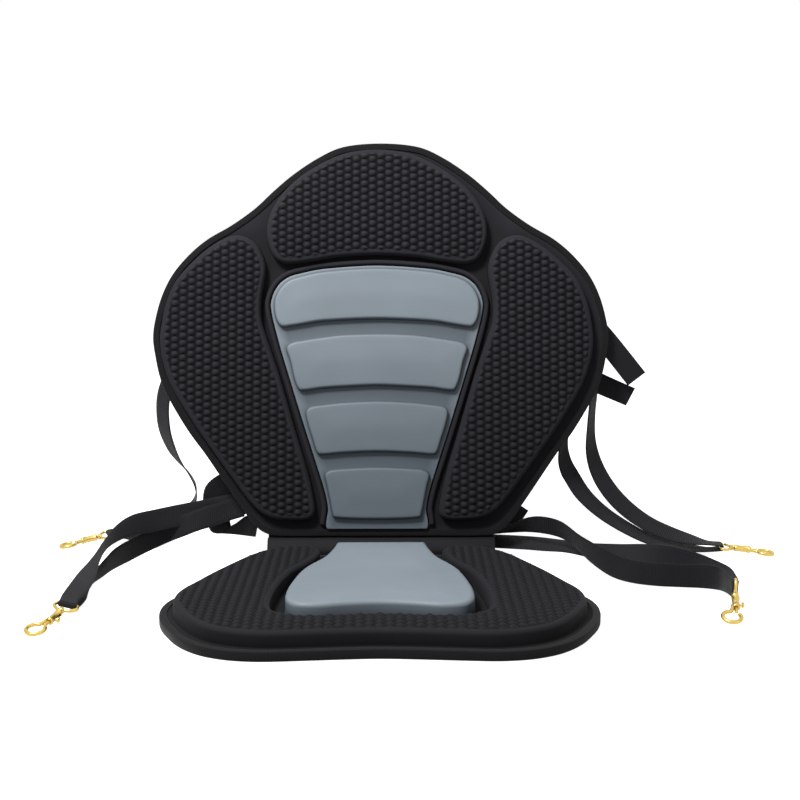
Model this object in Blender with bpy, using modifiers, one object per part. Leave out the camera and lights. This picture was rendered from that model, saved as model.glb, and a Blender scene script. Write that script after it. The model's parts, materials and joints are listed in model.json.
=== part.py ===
"""Kayak seat: a moulded foam seat pad and a folding moulded foam backrest, joined by a fabric hinge
strip, with four webbing straps that end in brass bolt snaps. Metres, +Z up, the seat's underside
on Z = 0, +Y towards the backrest."""

import math

import bmesh
import bpy
from mathutils import Matrix, Vector, geometry

MM = 0.001

# Seat pad and backrest, overall
SEAT_WIDTH = 422 * MM
SEAT_DEPTH = 309 * MM
BACK_WIDTH = 510 * MM
BACK_HEIGHT = 442 * MM
RECLINE = math.radians(13.8)
HINGE_BEHIND_SEAT = 4.5 * MM
HINGE_ABOVE_INSERT = 4 * MM
# The photographed backrest's pads and insert sit a little to one side in their binding
FACE_SHIFT = -4.5 * MM

# Layers, bottom to top on the seat and back to front on the backrest
GAP = 0.3 * MM
COVER = 2.0 * MM
FLANGE = 4.6 * MM
PAD_RISE = 15.2 * MM
BACK_PAD_RISE = 11.6 * MM
SEAT_INSERT = 18.5 * MM
BACK_INSERT_BASE = 4 * MM
BACK_RIB_RISE = 6.2 * MM
SHOULDER = 3.4 * MM
RIB_EDGE = 2.2 * MM
SEAT_FIELD = 1.2 * MM
BACK_FIELD = 3.2 * MM
BOARD = 1.7 * MM
BOARD_MARGIN = 26 * MM
FIELD_MARGIN = 15 * MM

# Sewn binding tape
TAPE = 0.9 * MM
TAPE_LEAF = 6 * MM

# Raised bumps on the pads
BUMP_COLUMNS = 9.2 * MM
BUMP_ROWS = 8.2 * MM
BUMP_HEIGHT = 1.5 * MM
BUMP_BORDER = 3 * MM

# Webbing
WEBBING = 25 * MM
WEBBING_THICK = 1.5 * MM
UPPER_BAND_AT = 176 * MM
LOWER_BAND_AT = 36 * MM
BAND_INSET = 40 * MM
BAND_FOLD = 18 * MM
BAND_END = 30 * MM

# Hinge strip
HINGE_STRIP_WIDTH = 196 * MM
HINGE_STRIP_THICK = 1.0 * MM
HINGE_STRIP_FOOT = 2.2 * MM
HINGE_STRIP_TURN = 15 * MM
HINGE_STRIP_TOP = 13 * MM

# Ladder-lock buckles
BUCKLE_LONG = 25 * MM
BUCKLE_BAR = 4 * MM
BUCKLE_THICK = 3.6 * MM

# Brass bolt snaps
WIRE = 3.0 * MM
EYE_INSIDE = 20.5 * MM
EYE_REACH = 11 * MM
COLLAR_RADIUS = 3.3 * MM
COLLAR_LONG = 3.2 * MM
SWIVEL_PIN = 1.5 * MM
BARREL_FROM = 15 * MM
BARREL_TO = 33.5 * MM
BARREL_RADIUS = 3.7 * MM
BORE_RADIUS = 2.1 * MM
BOLT_RADIUS = 1.8 * MM
BOLT_GRIP = 7.5 * MM
BOLT_TRAVEL = 8 * MM
HOOK_RADIUS = 8.8 * MM
HOOK_CENTRE = 49 * MM
HOOK_OFFSET = 4.5 * MM
HOOK_WIRE = 3.8 * MM
THUMB_RADIUS = 2.7 * MM
THUMB_REACH = 7.6 * MM
STEM_RADIUS = 1.1 * MM
RUNNING = 0.3 * MM
SPRING_TURNS = 4
SPRING_WIRE = 0.5 * MM

# Half outlines in millimetres as drawn, from the middle of one side round to the other. Those of
# the backrest run up its face from the hinge, those of the seat are a plan seen from above.
BACK_EDGE = [(0, 442), (42, 438), (71, 425), (99, 406), (121, 387), (142, 367), (168, 348),
             (195, 332), (216, 314), (234, 292), (246, 267), (253, 240), (255, 220), (252, 199),
             (246, 174), (235, 150), (215, 117), (195, 90), (173, 58), (155, 32), (142, 14),
             (128, 3), (108, 0), (60, 0), (0, 0)]
TOP_PAD = [(0, 434), (30, 431), (52, 423.5), (73, 412), (90, 400), (104, 386.5), (115, 371),
           (122, 355), (124, 339), (121, 323), (114, 310), (104, 304.5), (90, 304.5), (68, 307.5),
           (44, 311.5), (0, 314)]
SIDE_PAD = [(157, 336), (178, 328.5), (202, 310), (224, 286), (236.5, 258), (241.5, 230),
            (242, 212), (238.5, 192), (228.5, 165), (205, 126), (178.5, 88), (151.5, 51),
            (139.5, 36), (128, 25), (114, 18.5), (96, 16.5), (78, 17), (69.5, 24), (71, 42),
            (78, 72), (90, 112), (101, 150), (111, 183), (123, 218), (129.5, 240), (130, 262),
            (127, 282), (125, 298), (129, 314), (139, 329)]
BACK_INSERT = [(0, 302), (57, 298.5), (82, 294), (99, 289), (111, 279.5), (118, 265),
               (118.5, 250), (110, 215), (98, 175), (83.5, 128), (67.5, 78), (59, 51), (54.5, 30),
               (52.5, 3), (0, 3)]
RIBS = [
    [(0, 299.5), (56, 296), (80, 291.5), (97, 286.5), (108.5, 277.5), (115.5, 264), (116, 250),
     (113, 238), (107, 231), (98, 231.5), (82, 234), (59, 237.5), (0, 240)],
    [(0, 225), (37, 224), (59, 221.5), (82, 218), (96, 215), (102.5, 208), (98, 193), (94, 175),
     (89.5, 163), (84, 159), (60, 162), (37, 163.5), (0, 165)],
    [(0, 149.5), (37, 148), (60, 145.5), (75, 143), (80.5, 136), (78, 122), (73, 106), (68, 91),
     (62, 87.5), (37, 89.5), (0, 91)],
    [(0, 76), (36, 74.5), (53, 72.5), (59.5, 66), (57, 54), (54, 39), (50.5, 23), (45, 17.5),
     (0, 16)],
]
SEAT_EDGE = [(0, -151), (30, -152.5), (60, -155), (100, -158), (122, -156.5), (140, -152),
             (158, -143), (173, -130), (186, -113), (196, -94), (204, -76), (209, -58),
             (211, -40), (210, -24), (206, -8), (198.5, 8), (189, 31), (180, 50), (170, 72),
             (160, 93), (149, 112), (138, 128), (127, 140), (114, 148), (98, 151), (50, 151),
             (0, 151)]
SEAT_PAD = [(0, -140), (30, -141.5), (60, -144), (98, -147), (120, -144.5), (138, -139),
            (154, -130), (167, -117), (179, -99), (189, -79), (196, -60), (198.5, -42),
            (197.5, -24), (193, -8), (187, 6), (171, 45), (151, 87), (141, 106), (130, 121),
            (118, 133), (104, 140), (86, 142), (74, 139), (66, 124), (70, 96), (79, 72), (91, 47),
            (99, 14), (103, -14), (105, -48), (103, -72), (95, -86), (74, -96), (38, -94),
            (0, -91)]
SEAT_INSERT_EDGE = [(0, -79), (30, -81), (62, -84.5), (80, -80), (88, -68), (92, -46), (90, -8),
                    (80, 44), (62, 85), (54, 116), (50, 138), (46, 148), (0, 148)]

# Straps: the centre of the webbing, its width's direction and how far it is gathered there
REAR_RIGHT_LEG_OUT = [
    ((224, 227.4, 204), (0, 0.24, 0.97), 1), ((236, 228, 199), (0.14, 0.34, 0.93), 1),
    ((242.5, 227, 188), (0.45, 0.75, 0.48), 1),
    ((242, 227, 172), (0.46, 0.80, 0.37), 1), ((240, 226, 146), (0.46, 0.79, 0.40), 1),
    ((240, 225, 117), (0.53, 0.70, 0.48), 1), ((247, 222, 91), (0.58, 0.65, 0.50), 1),
    ((261, 217, 67), (0.60, 0.66, 0.44), 1), ((280, 209, 47), (0.60, 0.70, 0.40), 1),
    ((304, 200, 31), (0.50, 0.76, 0.38), 1), ((330, 192, 21), (0.35, 0.84, 0.36), 1),
    ((353, 187, 16), (0.14, 0.95, 0.20), 0.95), ((370, 184, 13), (0.08, 0.99, 0), 0.74)]
REAR_RIGHT_LEG_BACK = [
    ((370, 184, 5.6), (0.08, 0.99, 0), 0.74), ((352, 184, 7), (0.06, 0.98, 0.08), 0.95),
    ((324, 184, 11.5), (0.05, 0.98, 0.16), 1), ((295, 190, 20), (0.20, 0.93, 0.30), 1),
    ((258, 199, 40), (0.60, 0.75, 0.20), 1), ((232, 206, 62), (0.70, 0.68, 0.20), 1),
    ((217, 211, 84), (0.62, 0.68, 0.38), 1), ((210, 213, 97), (0.54, 0.66, 0.52), 1),
    ((207, 215, 112), (0.50, 0.60, 0.62), 1), ((209, 217, 131), (0.50, 0.60, 0.62), 1),
    ((214, 221, 150), (0.45, 0.50, 0.74), 1)]
FRONT_RIGHT_LEG_OUT = [
    ((86, 190.2, 59), (0.50, 0.21, 0.84), 1), ((103, 192.6, 43), (0.35, 0.02, 0.90), 1),
    ((119, 191.8, 28), (-0.05, -0.76, 0.65), 1), ((143, 188, 30), (0.06, -0.76, 0.64), 1),
    ((163, 176, 37), (0.14, -0.55, 0.82), 1), ((180, 164, 39.5), (0, -0.48, 0.88), 1),
    ((198, 154, 37), (-0.05, -0.50, 0.86), 1), ((212, 139, 30), (0.14, -0.72, 0.66), 1),
    ((223, 124, 24), (0.30, -0.62, 0.72), 1), ((236, 104, 18), (0.34, -0.36, 0.87), 1),
    ((250, 86, 14), (0.24, -0.05, 0.97), 1), ((266, 68, 14), (0.10, 0, 1), 1),
    ((288, 58, 14), (0, 0, 1), 1), ((312, 54, 14), (0, 0, 1), 1),
    ((332, 48, 15), (0, 0.06, 1), 1), ((344, 30, 18), (0, 0.10, 1), 0.95),
    ((346.2, 3, 20.5), (0.02, 0.02, 1), 0.76)]
FRONT_RIGHT_LEG_BACK = [
    ((353.4, 2, 20.5), (0.02, 0.02, 1), 0.76), ((354, 30, 18), (0.05, 0.1, 1), 0.95),
    ((347, 66, 15), (0.05, 0.1, 1), 1), ((334, 98, 14), (0.03, 0.15, 0.98), 1),
    ((313, 122, 14), (0, 0.30, 0.95), 1), ((290, 137, 12.5), (0, 0.50, 0.87), 1),
    ((262, 147, 11), (0, 0.70, 0.71), 1), ((232, 154, 13), (0, 0.90, 0.43), 1),
    ((205, 166, 14.5), (0, 0.95, 0.31), 1), ((182, 177, 14), (0, 0.93, 0.37), 1),
    ((160, 184, 14), (0, 0.93, 0.37), 1), ((136, 190, 14), (0, 0.93, 0.37), 1)]
FRONT_LEFT_LEG_OUT = [
    ((-128, 192.1, 59.5), (0, 0.24, 0.97), 1), ((-148, 193.6, 58.5), (0, 0.25, 0.97), 1),
    ((-168, 197.6, 55), (0.01, 0.28, 0.96), 1), ((-187, 198.5, 51.5), (0.02, 0.30, 0.95), 1),
    ((-206, 193, 48.5), (0.02, 0.36, 0.93), 1),
    ((-230, 185, 45.5), (-0.04, 0.36, 0.93), 1), ((-252, 175, 43), (-0.02, 0.40, 0.92), 1),
    ((-273, 158, 39), (-0.06, 0.58, 0.81), 1), ((-286, 138, 35), (-0.14, 0.78, 0.60), 1),
    ((-292, 110, 30), (-0.30, 0.90, 0.30), 1), ((-294, 80, 26), (-0.50, 0.86, 0.08), 1),
    ((-295, 52, 24), (-0.66, 0.74, 0.10), 1), ((-296, 26, 23), (-0.76, 0.62, 0.14), 1),
    ((-297, 0, 22), (-0.84, 0.50, 0.18), 0.95), ((-300, -30, 19.5), (-0.93, 0.33, 0.12), 0.76)]
FRONT_LEFT_LEG_BACK = [
    ((-299, -30, 12.3), (-0.93, 0.33, 0.12), 0.76), ((-300, 0, 11), (-0.80, 0.55, 0.12), 0.95),
    ((-303, 30, 8.5), (-0.66, 0.72, 0.14), 1), ((-304, 62, 7.5), (-0.42, 0.86, 0.24), 1),
    ((-301, 94, 9), (-0.16, 0.88, 0.40), 1), ((-296, 122, 11.5), (0.04, 0.68, 0.70), 1),
    ((-287, 148, 13.5), (0.10, 0.36, 0.92), 1), ((-273, 170, 15), (0.10, 0.20, 0.97), 1),
    ((-256, 184, 20), (0.06, 0.22, 0.97), 1), ((-238, 186, 28), (0.03, 0.26, 0.96), 1),
    ((-220, 181, 36), (0.02, 0.32, 0.94), 1), ((-203, 184, 42), (0.01, 0.34, 0.94), 1),
    ((-186, 189, 46), (0, 0.30, 0.95), 1), ((-170, 192.6, 51), (0, 0.28, 0.96), 1),
    ((-154, 191.6, 56), (0, 0.25, 0.97), 1)]
REAR_LEFT_LEG = [
    ((-224, 227.4, 204), (0, 0.24, 0.97), 1), ((-237, 228.6, 197), (-0.25, 0.40, 0.88), 1),
    ((-246, 228, 180), (-0.66, 0.70, 0.20), 1),
    ((-249, 227, 160), (-0.68, 0.72, 0), 1), ((-247, 226, 135), (-0.66, 0.74, 0), 1),
    ((-239, 225, 112), (-0.56, 0.82, 0), 1), ((-230, 223, 98), (-0.40, 0.92, 0), 1),
    ((-220, 221, 86), (-0.22, 0.97, 0), 1), ((-213, 219, 73), (-0.14, 0.99, 0), 1),
    ((-212, 217, 60), (-0.16, 0.98, 0.02), 1), ((-218, 215, 48), (-0.24, 0.95, 0.16), 1),
    ((-234, 215, 38), (-0.26, 0.93, 0.24), 1), ((-260, 222, 28), (-0.26, 0.94, 0.20), 1),
    ((-284, 232, 20), (-0.30, 0.94, 0.12), 0.95), ((-303, 240, 15), (-0.35, 0.93, 0.06), 0.76)]
REAR_LEFT_TAIL = [
    ((-303, 240, 7.8), (-0.35, 0.93, 0.06), 0.76), ((-286, 232, 8), (-0.30, 0.94, 0.12), 0.95),
    ((-266, 224, 10), (-0.26, 0.95, 0.14), 1), ((-246, 217, 13), (-0.26, 0.95, 0.14), 1)]
FOLDED_LOOP = [
    ((-158, 192.4, 85), (-0.55, 0.20, 0.81), 1), ((-174, 205, 77), (-0.60, 0, 0.78), 1.2),
    ((-187, 208, 62), (-0.75, 0.05, 0.66), 1.4), ((-188, 208, 44), (-0.92, 0, 0.38), 1.3),
    ((-185, 205, 31), (-0.98, 0, 0.12), 1.1), ((-181, 204, 24), (-0.96, 0.05, -0.20), 1),
    ((-171, 203, 26.5), (-0.75, 0.20, -0.62), 1), ((-157, 198, 29), (-0.45, 0.30, -0.84), 1),
    ((-140, 190.8, 29.5), (-0.20, 0.26, -0.95), 1)]
UPPER_TAIL = [
    ((216, 264, -22.9), (0.50, 0.86, 0), 1), ((234, 243, -22.9), (0.72, 0.69, 0), 1),
    ((256, 218, -23.4), (0.80, 0.60, 0), 1), ((290, 175, -26), (0.80, 0.60, 0.05), 1)]
LOWER_TAIL = [
    ((214, 186, -30.4), (0.06, 0.99, 0), 1), ((228, 182, -32.5), (0.20, 0.98, 0), 1),
    ((246, 174, -46), (0.36, 0.93, 0.06), 0.95), ((286, 156, -44), (0.46, 0.88, 0.14), 0.9)]
LOWER_TAB = [
    ((131, 36.5, -28.6), (0.40, 0.92, 0), 0.9), ((142, 30, -28.6), (0.50, 0.86, 0), 0.9),
    ((152, 23.5, -28.6), (0.55, 0.83, 0), 0.9)]

# Bolt snaps: centre of the webbing bar, way to the tip, way of the bar, way of the thumb knob
SNAPS = {
    "front_right": ((349.5, -11.5, 20.5), (-0.18, -0.93, -0.29), (0.02, 0.02, 1), (1, 0, 0)),
    "front_left": ((-299.6, -43, 15.9), (-0.33, -0.92, -0.20), (-0.93, 0.33, 0.12), (1, 0, 0)),
    "rear_right": ((383, 183.6, 9.3), (0.99, -0.08, -0.10), (0.08, 0.99, 0), (0, 1, 0)),
    "rear_left": ((-315.5, 234.6, 11.2), (-0.91, -0.38, -0.13), (-0.35, 0.93, 0.06), (0, 1, 0)),
}

# Metres to a unit of each drawn outline, across and along
SEAT_WIDE = SEAT_WIDTH / 2 / max(x for x, _ in SEAT_EDGE)
SEAT_TALL = SEAT_DEPTH / (SEAT_EDGE[-1][1] - min(y for _, y in SEAT_EDGE))
BACK_WIDE = BACK_WIDTH / 2 / max(x for x, _ in BACK_EDGE)
BACK_TALL = BACK_HEIGHT / BACK_EDGE[0][1]
SEAT_REAR = SEAT_EDGE[-1][1] * SEAT_TALL

# Heights that follow from the layers
SEAT_FACE = SEAT_FIELD + COVER + GAP + FLANGE
HINGE_Y = SEAT_REAR + HINGE_BEHIND_SEAT
HINGE_Z = SEAT_FACE + GAP + SEAT_INSERT + HINGE_ABOVE_INSERT
BACK_FACE = -BACK_PAD_RISE
BACK_REAR = BACK_FACE - FLANGE
COVER_REAR = BACK_REAR - GAP - COVER
FIELD_REAR = COVER_REAR - BACK_FIELD
BAND_LEVEL = FIELD_REAR - GAP - WEBBING_THICK / 2
BUCKLE_LEVEL = BAND_LEVEL - WEBBING_THICK / 2 - GAP - BUCKLE_THICK / 2


def clear_scene():
    for obj in list(bpy.data.objects):
        bpy.data.objects.remove(obj)


def collection(name):
    made = bpy.data.collections.new(name)
    bpy.context.scene.collection.children.link(made)
    return made


def material(name, colour, rough, metal=0.0):
    made = bpy.data.materials.new(name)
    made.use_nodes = True
    made.diffuse_color = (*colour, 1)
    shader = made.node_tree.nodes["Principled BSDF"]
    shader.inputs["Base Color"].default_value = (*colour, 1)
    shader.inputs["Roughness"].default_value = rough
    shader.inputs["Metallic"].default_value = metal
    return made


def add(name, data, look, parent, place=None):
    obj = bpy.data.objects.new(name, data)
    PARTS.objects.link(obj)
    data.materials.append(look)
    obj.parent = parent
    if place is not None:
        obj.matrix_local = place
    return obj


def guide(name, data):
    obj = bpy.data.objects.new(name, data)
    GUIDES.objects.link(obj)
    obj.hide_render = True
    obj.display_type = "WIRE"
    return obj


def empty(name, place, parent=None):
    obj = bpy.data.objects.new(name, None)
    PARTS.objects.link(obj)
    obj.empty_display_size = 0.02
    obj.parent = parent
    obj.matrix_local = place
    return obj


def catmull_rom(a, b, c, d, t):
    """The point at t between b and c on the smooth curve through all four."""
    return 0.5 * (2 * b + (c - a) * t + (2 * a - 5 * b + 4 * c - d) * t * t
                  + (3 * b - a - 3 * c + d) * t * t * t)


def smooth_line(points, steps, closed=False):
    count = len(points)
    line = []
    for i in range(count if closed else count - 1):
        if closed:
            around = [points[(i + k) % count] for k in (-1, 0, 1, 2)]
        else:
            around = [points[min(max(i + k, 0), count - 1)] for k in (-1, 0, 1, 2)]
        line += [catmull_rom(*around, s / steps) for s in range(steps)]
    return line if closed else line + [points[-1]]


def whole_outline(half, wide, tall, steps=2):
    """A symmetric outline from its half, counter-clockwise and smoothed."""
    points = [Vector((x * wide, y * tall)) for x, y in half]
    mirrored = [Vector((-p.x, p.y)) for p in reversed(points[1:-1])]
    line = smooth_line(points + mirrored, steps, closed=True)
    return line if signed_area(line) > 0 else line[::-1]


def shifted(line, amount):
    return [Vector((p.x + amount, p.y)) for p in line]


def stopped(line, low, high):
    """The outline cut straight where it would pass these heights."""
    return [Vector((p.x, min(max(p.y, low), high))) for p in line]


def side_outline(points, wide, tall, side, steps=2):
    line = smooth_line([Vector((side * x * wide, y * tall)) for x, y in points], steps, True)
    return line if signed_area(line) > 0 else line[::-1]


def signed_area(line):
    return sum(a.x * b.y - b.x * a.y for a, b in zip(line, line[1:] + line[:1])) / 2


def inset(line, amount):
    """The outline moved inwards, corner by corner."""
    moved = []
    for before, here, after in zip(line[-1:] + line[:-1], line, line[1:] + line[:1]):
        first, second = (here - before).normalized(), (after - here).normalized()
        inward = Vector((-first.y - second.y, first.x + second.x)).normalized()
        reach = max(0.5, inward.dot(Vector((-first.y, first.x))))
        moved.append(here + inward * amount / reach)
    return moved


def half_width(half, wide, tall, height):
    """How far the outline reaches from the middle at this height."""
    found = 0
    for (x0, y0), (x1, y1) in zip(half, half[1:]):
        low, high = sorted((y0 * tall, y1 * tall))
        if low <= height <= high and high > low:
            share = (height - y0 * tall) / ((y1 - y0) * tall)
            found = max(found, (x0 + (x1 - x0) * share) * wide)
    return found


def ring(bm, line, level):
    verts = [bm.verts.new((p.x, p.y, level)) for p in line]
    edges = [bm.edges.new((a, b)) for a, b in zip(verts, verts[1:] + verts[:1])]
    return verts, edges


def fill(bm, edges):
    bmesh.ops.triangle_fill(bm, use_beauty=True, edges=edges)


def wall(bm, low, high):
    for i, vert in enumerate(low):
        after = (i + 1) % len(low)
        bm.faces.new((vert, low[after], high[after], high[i]))


def inside(line, point, margin):
    """Whether the point is inside the outline and at least the margin from it."""
    odd = False
    for a, b in zip(line, line[1:] + line[:1]):
        if (a.y > point.y) != (b.y > point.y):
            odd ^= point.x < (b.x - a.x) * (point.y - a.y) / (b.y - a.y) + a.x
        near, share = geometry.intersect_point_line(point, a, b)
        near = near if 0 <= share <= 1 else (a if share < 0 else b)
        if (near - point).length < margin:
            return False
    return odd


def bumped_top(bm, edges, line, level):
    """Fills the outline with staggered columns of raised bumps inside a smooth border."""
    columns = int(BACK_WIDTH / BUMP_COLUMNS)
    rows = int((BACK_HEIGHT + SEAT_DEPTH) / BUMP_ROWS)
    corners, cells = {}, []

    def corner(column, half_row):
        key = (column, half_row)
        if key not in corners:
            at = (column * BUMP_COLUMNS, half_row * BUMP_ROWS / 2, level)
            corners[key] = bm.verts.new(at)
        return corners[key]

    for column in range(-columns, columns + 1):
        for row in range(-rows, rows + 1):
            half_row = 2 * row + column % 2
            around = [(column + 1, half_row), (column, half_row + 1), (column - 1, half_row),
                      (column, half_row - 1)]
            flat = [Vector((c * BUMP_COLUMNS, h * BUMP_ROWS / 2)) for c, h in around]
            if all(inside(line, point, BUMP_BORDER) for point in flat):
                cells.append(bm.faces.new([corner(*key) for key in around]))
    rim = [e for e in {e for face in cells for e in face.edges} if len(e.link_faces) == 1]
    fill(bm, edges + rim)
    raised = bmesh.ops.poke(bm, faces=cells)["verts"]
    bmesh.ops.translate(bm, verts=raised, vec=(0, 0, BUMP_HEIGHT))


def rise(bm, verts, edges, line, level, height, shoulder, steps, bumps):
    """Raises an island from the ring with a straight wall and a rounded shoulder."""
    up = 1 if height > 0 else -1
    tops = [(0, height - up * shoulder)] if abs(height) > shoulder else []
    for i in range(1, steps + 1):
        turn = math.pi / 2 * i / steps
        tops.append((shoulder * (1 - math.cos(turn)), height - up * shoulder * (1 - math.sin(turn))))
    for amount, lift in tops:
        inner = inset(line, amount)
        next_verts, next_edges = ring(bm, inner, level + lift)
        wall(bm, verts, next_verts)
        verts, edges = next_verts, next_edges
    if bumps:
        bumped_top(bm, edges, inner, level + height)
    else:
        fill(bm, edges)


def moulded(name, line, low, high, look, parent, place, over=(), under=()):
    """A sheet with islands raised over its face or under its back; a negative rise is a pocket."""
    bm = bmesh.new()
    faces = []
    for level, islands in ((low, under), (high, over)):
        verts, edges = ring(bm, line, level)
        faces.append(verts)
        bases = [ring(bm, island["line"], level) for island in islands]
        fill(bm, edges + [edge for _, island_edges in bases for edge in island_edges])
        for (base, base_edges), island in zip(bases, islands):
            rise(bm, base, base_edges, island["line"], level, island["rise"],
                 island.get("shoulder", 0), island.get("steps", 1), island.get("bumps", False))
    wall(bm, *faces)
    bmesh.ops.recalc_face_normals(bm, faces=bm.faces)
    mesh = bpy.data.meshes.new(name)
    bm.to_mesh(mesh)
    bm.free()
    mesh.shade_smooth()
    mesh.set_sharp_from_angle(angle=math.radians(35))
    return add(name, mesh, look, parent, place)


def binding(name, line, low, high, look, parent, place):
    """Tape folded over the sewn edge: a C-shaped section carried round the outline."""
    out, leaf = -GAP - TAPE, TAPE_LEAF
    bottom, top = low - GAP, high + GAP
    section = [(out, bottom - TAPE), (leaf, bottom - TAPE), (leaf, bottom), (-GAP, bottom),
               (-GAP, top), (leaf, top), (leaf, top + TAPE), (out, top + TAPE)]
    profile = bpy.data.curves.new(name + "_section", "CURVE")
    profile.dimensions = "2D"
    spline = profile.splines.new("POLY")
    spline.points.add(len(section) - 1)
    for point, (inward, level) in zip(spline.points, section):
        point.co = (-inward, level, 0, 1)
    spline.use_cyclic_u = True
    data = bpy.data.curves.new(name, "CURVE")
    data.dimensions = "3D"
    data.twist_mode = "Z_UP"
    data.bevel_mode = "OBJECT"
    data.bevel_object = guide(name + "_section", profile)
    spline = data.splines.new("POLY")
    spline.points.add(len(line) - 1)
    for point, at in zip(spline.points, line):
        point.co = (at.x, at.y, 0, 1)
    spline.use_cyclic_u = True
    return add(name, data, look, parent, place)


def ribbon(name, stations, width, thick, look, parent=None, place=None, steps=3, closed=False):
    """Webbing along a smooth line through the stations, each a centre, a way and a gathering."""
    centres = smooth_line([Vector(at) for at, _, _ in stations], steps, closed)
    ways = smooth_line([Vector(way).normalized() for _, way, _ in stations], steps, closed)
    shares = smooth_line([Vector((share, 0)) for _, _, share in stations], steps, closed)
    bm = bmesh.new()
    grid = bmesh.ops.create_grid(bm, x_segments=len(centres) - 1, y_segments=1, size=1)
    span = len(centres) - 1
    for vert in grid["verts"]:
        i = round((vert.co.x + 1) / 2 * span)
        side = 1 if vert.co.y > 0 else -1
        vert.co = centres[i] * MM + ways[i].normalized() * side * shares[i].x * width / 2
    mesh = bpy.data.meshes.new(name)
    bm.to_mesh(mesh)
    bm.free()
    obj = add(name, mesh, look, parent, place)
    solid = obj.modifiers.new("thickness", "SOLIDIFY")
    solid.thickness = thick
    solid.offset = 0
    mesh.shade_smooth()
    return obj


def turn_round(eye_place, start, end, share):
    """Stations of the webbing's turn round a snap's bar, from one leg's end to the other's."""
    axis, bar = eye_place.col[1].to_3d(), eye_place.translation / MM
    ahead = bar - (Vector(start) + Vector(end)) / 2
    ahead = (ahead - axis * ahead.dot(axis)).normalized()
    aside = axis.cross(ahead)
    if aside.dot(Vector(start) - Vector(end)) < 0:
        aside.negate()
    radius = (WIRE / 2 + GAP + WEBBING_THICK / 2) / MM / math.cos(math.pi / 8)
    found = []
    for i in range(5):
        turn = math.pi * i / 4
        at = bar + (aside * math.cos(turn) + ahead * math.sin(turn)) * radius
        found.append((at, axis, share))
    return found


def flat_curve(name, lines, thick, edge, look, parent, place):
    """A plate from closed flat outlines, the later ones holes, with its edges rounded."""
    data = bpy.data.curves.new(name, "CURVE")
    data.dimensions = "2D"
    data.fill_mode = "BOTH"
    data.extrude = thick / 2 - edge
    data.bevel_depth = edge
    data.bevel_resolution = 0
    data.offset = -edge
    for line in lines:
        spline = data.splines.new("POLY")
        spline.points.add(len(line) - 1)
        for point, (x, y) in zip(spline.points, line):
            point.co = (x, y, 0, 1)
        spline.use_cyclic_u = True
    return add(name, data, look, parent, place)


def box_line(x0, x1, y0, y1, corner):
    """A rectangle with cut corners."""
    return [(x0 + corner, y0), (x1 - corner, y0), (x1, y0 + corner), (x1, y1 - corner),
            (x1 - corner, y1), (x0 + corner, y1), (x0, y1 - corner), (x0, y0 + corner)]


def buckle(name, side, inner, height, parent):
    """Ladder lock: a frame with two slots and a middle bar, lying behind a band's end."""
    wide = WEBBING + 2 * BUCKLE_BAR + 2 * MM
    slot = (BUCKLE_LONG - 3 * BUCKLE_BAR) / 2
    low, high = height - wide / 2, height + wide / 2
    xs = sorted((side * inner, side * (inner + BUCKLE_LONG)))
    frame = box_line(xs[0], xs[1], low, high, 2.4 * MM)
    holes = []
    for i in range(2):
        x0 = xs[0] + BUCKLE_BAR + i * (slot + BUCKLE_BAR)
        hole = box_line(x0, x0 + slot, low + BUCKLE_BAR, high - BUCKLE_BAR, 0.8 * MM)
        holes.append(hole[::-1])
    at = Matrix.Translation((0, 0, BUCKLE_LEVEL))
    return flat_curve(name, [frame] + holes, BUCKLE_THICK, 0.6 * MM, PLASTIC, parent, at)


def band(name, height, inner, parent):
    """A webbing band across the back, each end turned up and back round its buckle's bar."""
    bar = inner + BUCKLE_BAR / 2
    turn = (BUCKLE_THICK + WEBBING_THICK) / 2 + GAP
    reach = BUCKLE_BAR / 2 + GAP + WEBBING_THICK / 2
    corner = WEBBING_THICK * 0.8
    side_points = [(bar + reach - corner, BUCKLE_LEVEL + turn),
                   (bar + reach, BUCKLE_LEVEL + turn - corner),
                   (bar + reach, BUCKLE_LEVEL - turn + corner),
                   (bar + reach - corner, BUCKLE_LEVEL - turn),
                   (inner - 2 * MM, BUCKLE_LEVEL - turn), (inner - BAND_FOLD / 2, BUCKLE_LEVEL),
                   (inner - BAND_FOLD, BAND_LEVEL - WEBBING_THICK - GAP),
                   (inner - BAND_END, BAND_LEVEL - WEBBING_THICK - GAP)]
    path = [(-x, z) for x, z in reversed(side_points)] + side_points
    stations = [((x / MM, height / MM, z / MM), (0, 1, 0), 1) for x, z in path]
    return ribbon(name, stations, WEBBING, WEBBING_THICK, WEBBING_LOOK, parent, None, 1)


def tube(name, points, radius, look, parent, place, closed=False, resolution=2):
    data = bpy.data.curves.new(name, "CURVE")
    data.dimensions = "3D"
    data.bevel_depth = radius
    data.bevel_resolution = resolution
    data.use_fill_caps = True
    spline = data.splines.new("POLY")
    spline.points.add(len(points) - 1)
    for point, at in zip(spline.points, points):
        point.co = (*at, 1)
    spline.use_cyclic_u = closed
    return add(name, data, look, parent, place)


def as_mesh(obj):
    """The object's shape as a mesh object of the same name, its caps welded."""
    bpy.context.view_layer.update()
    graph = bpy.context.evaluated_depsgraph_get()
    mesh = bpy.data.meshes.new_from_object(obj.evaluated_get(graph))
    bm = bmesh.new()
    bm.from_mesh(mesh)
    bmesh.ops.remove_doubles(bm, verts=bm.verts, dist=1e-6)
    bmesh.ops.recalc_face_normals(bm, faces=bm.faces)
    bm.to_mesh(mesh)
    bm.free()
    name, parent, place = obj.name, obj.parent, obj.matrix_local.copy()
    look = obj.data.materials[0]
    bpy.data.objects.remove(obj)
    mesh.materials.clear()
    return add(name, mesh, look, parent, place)


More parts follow.
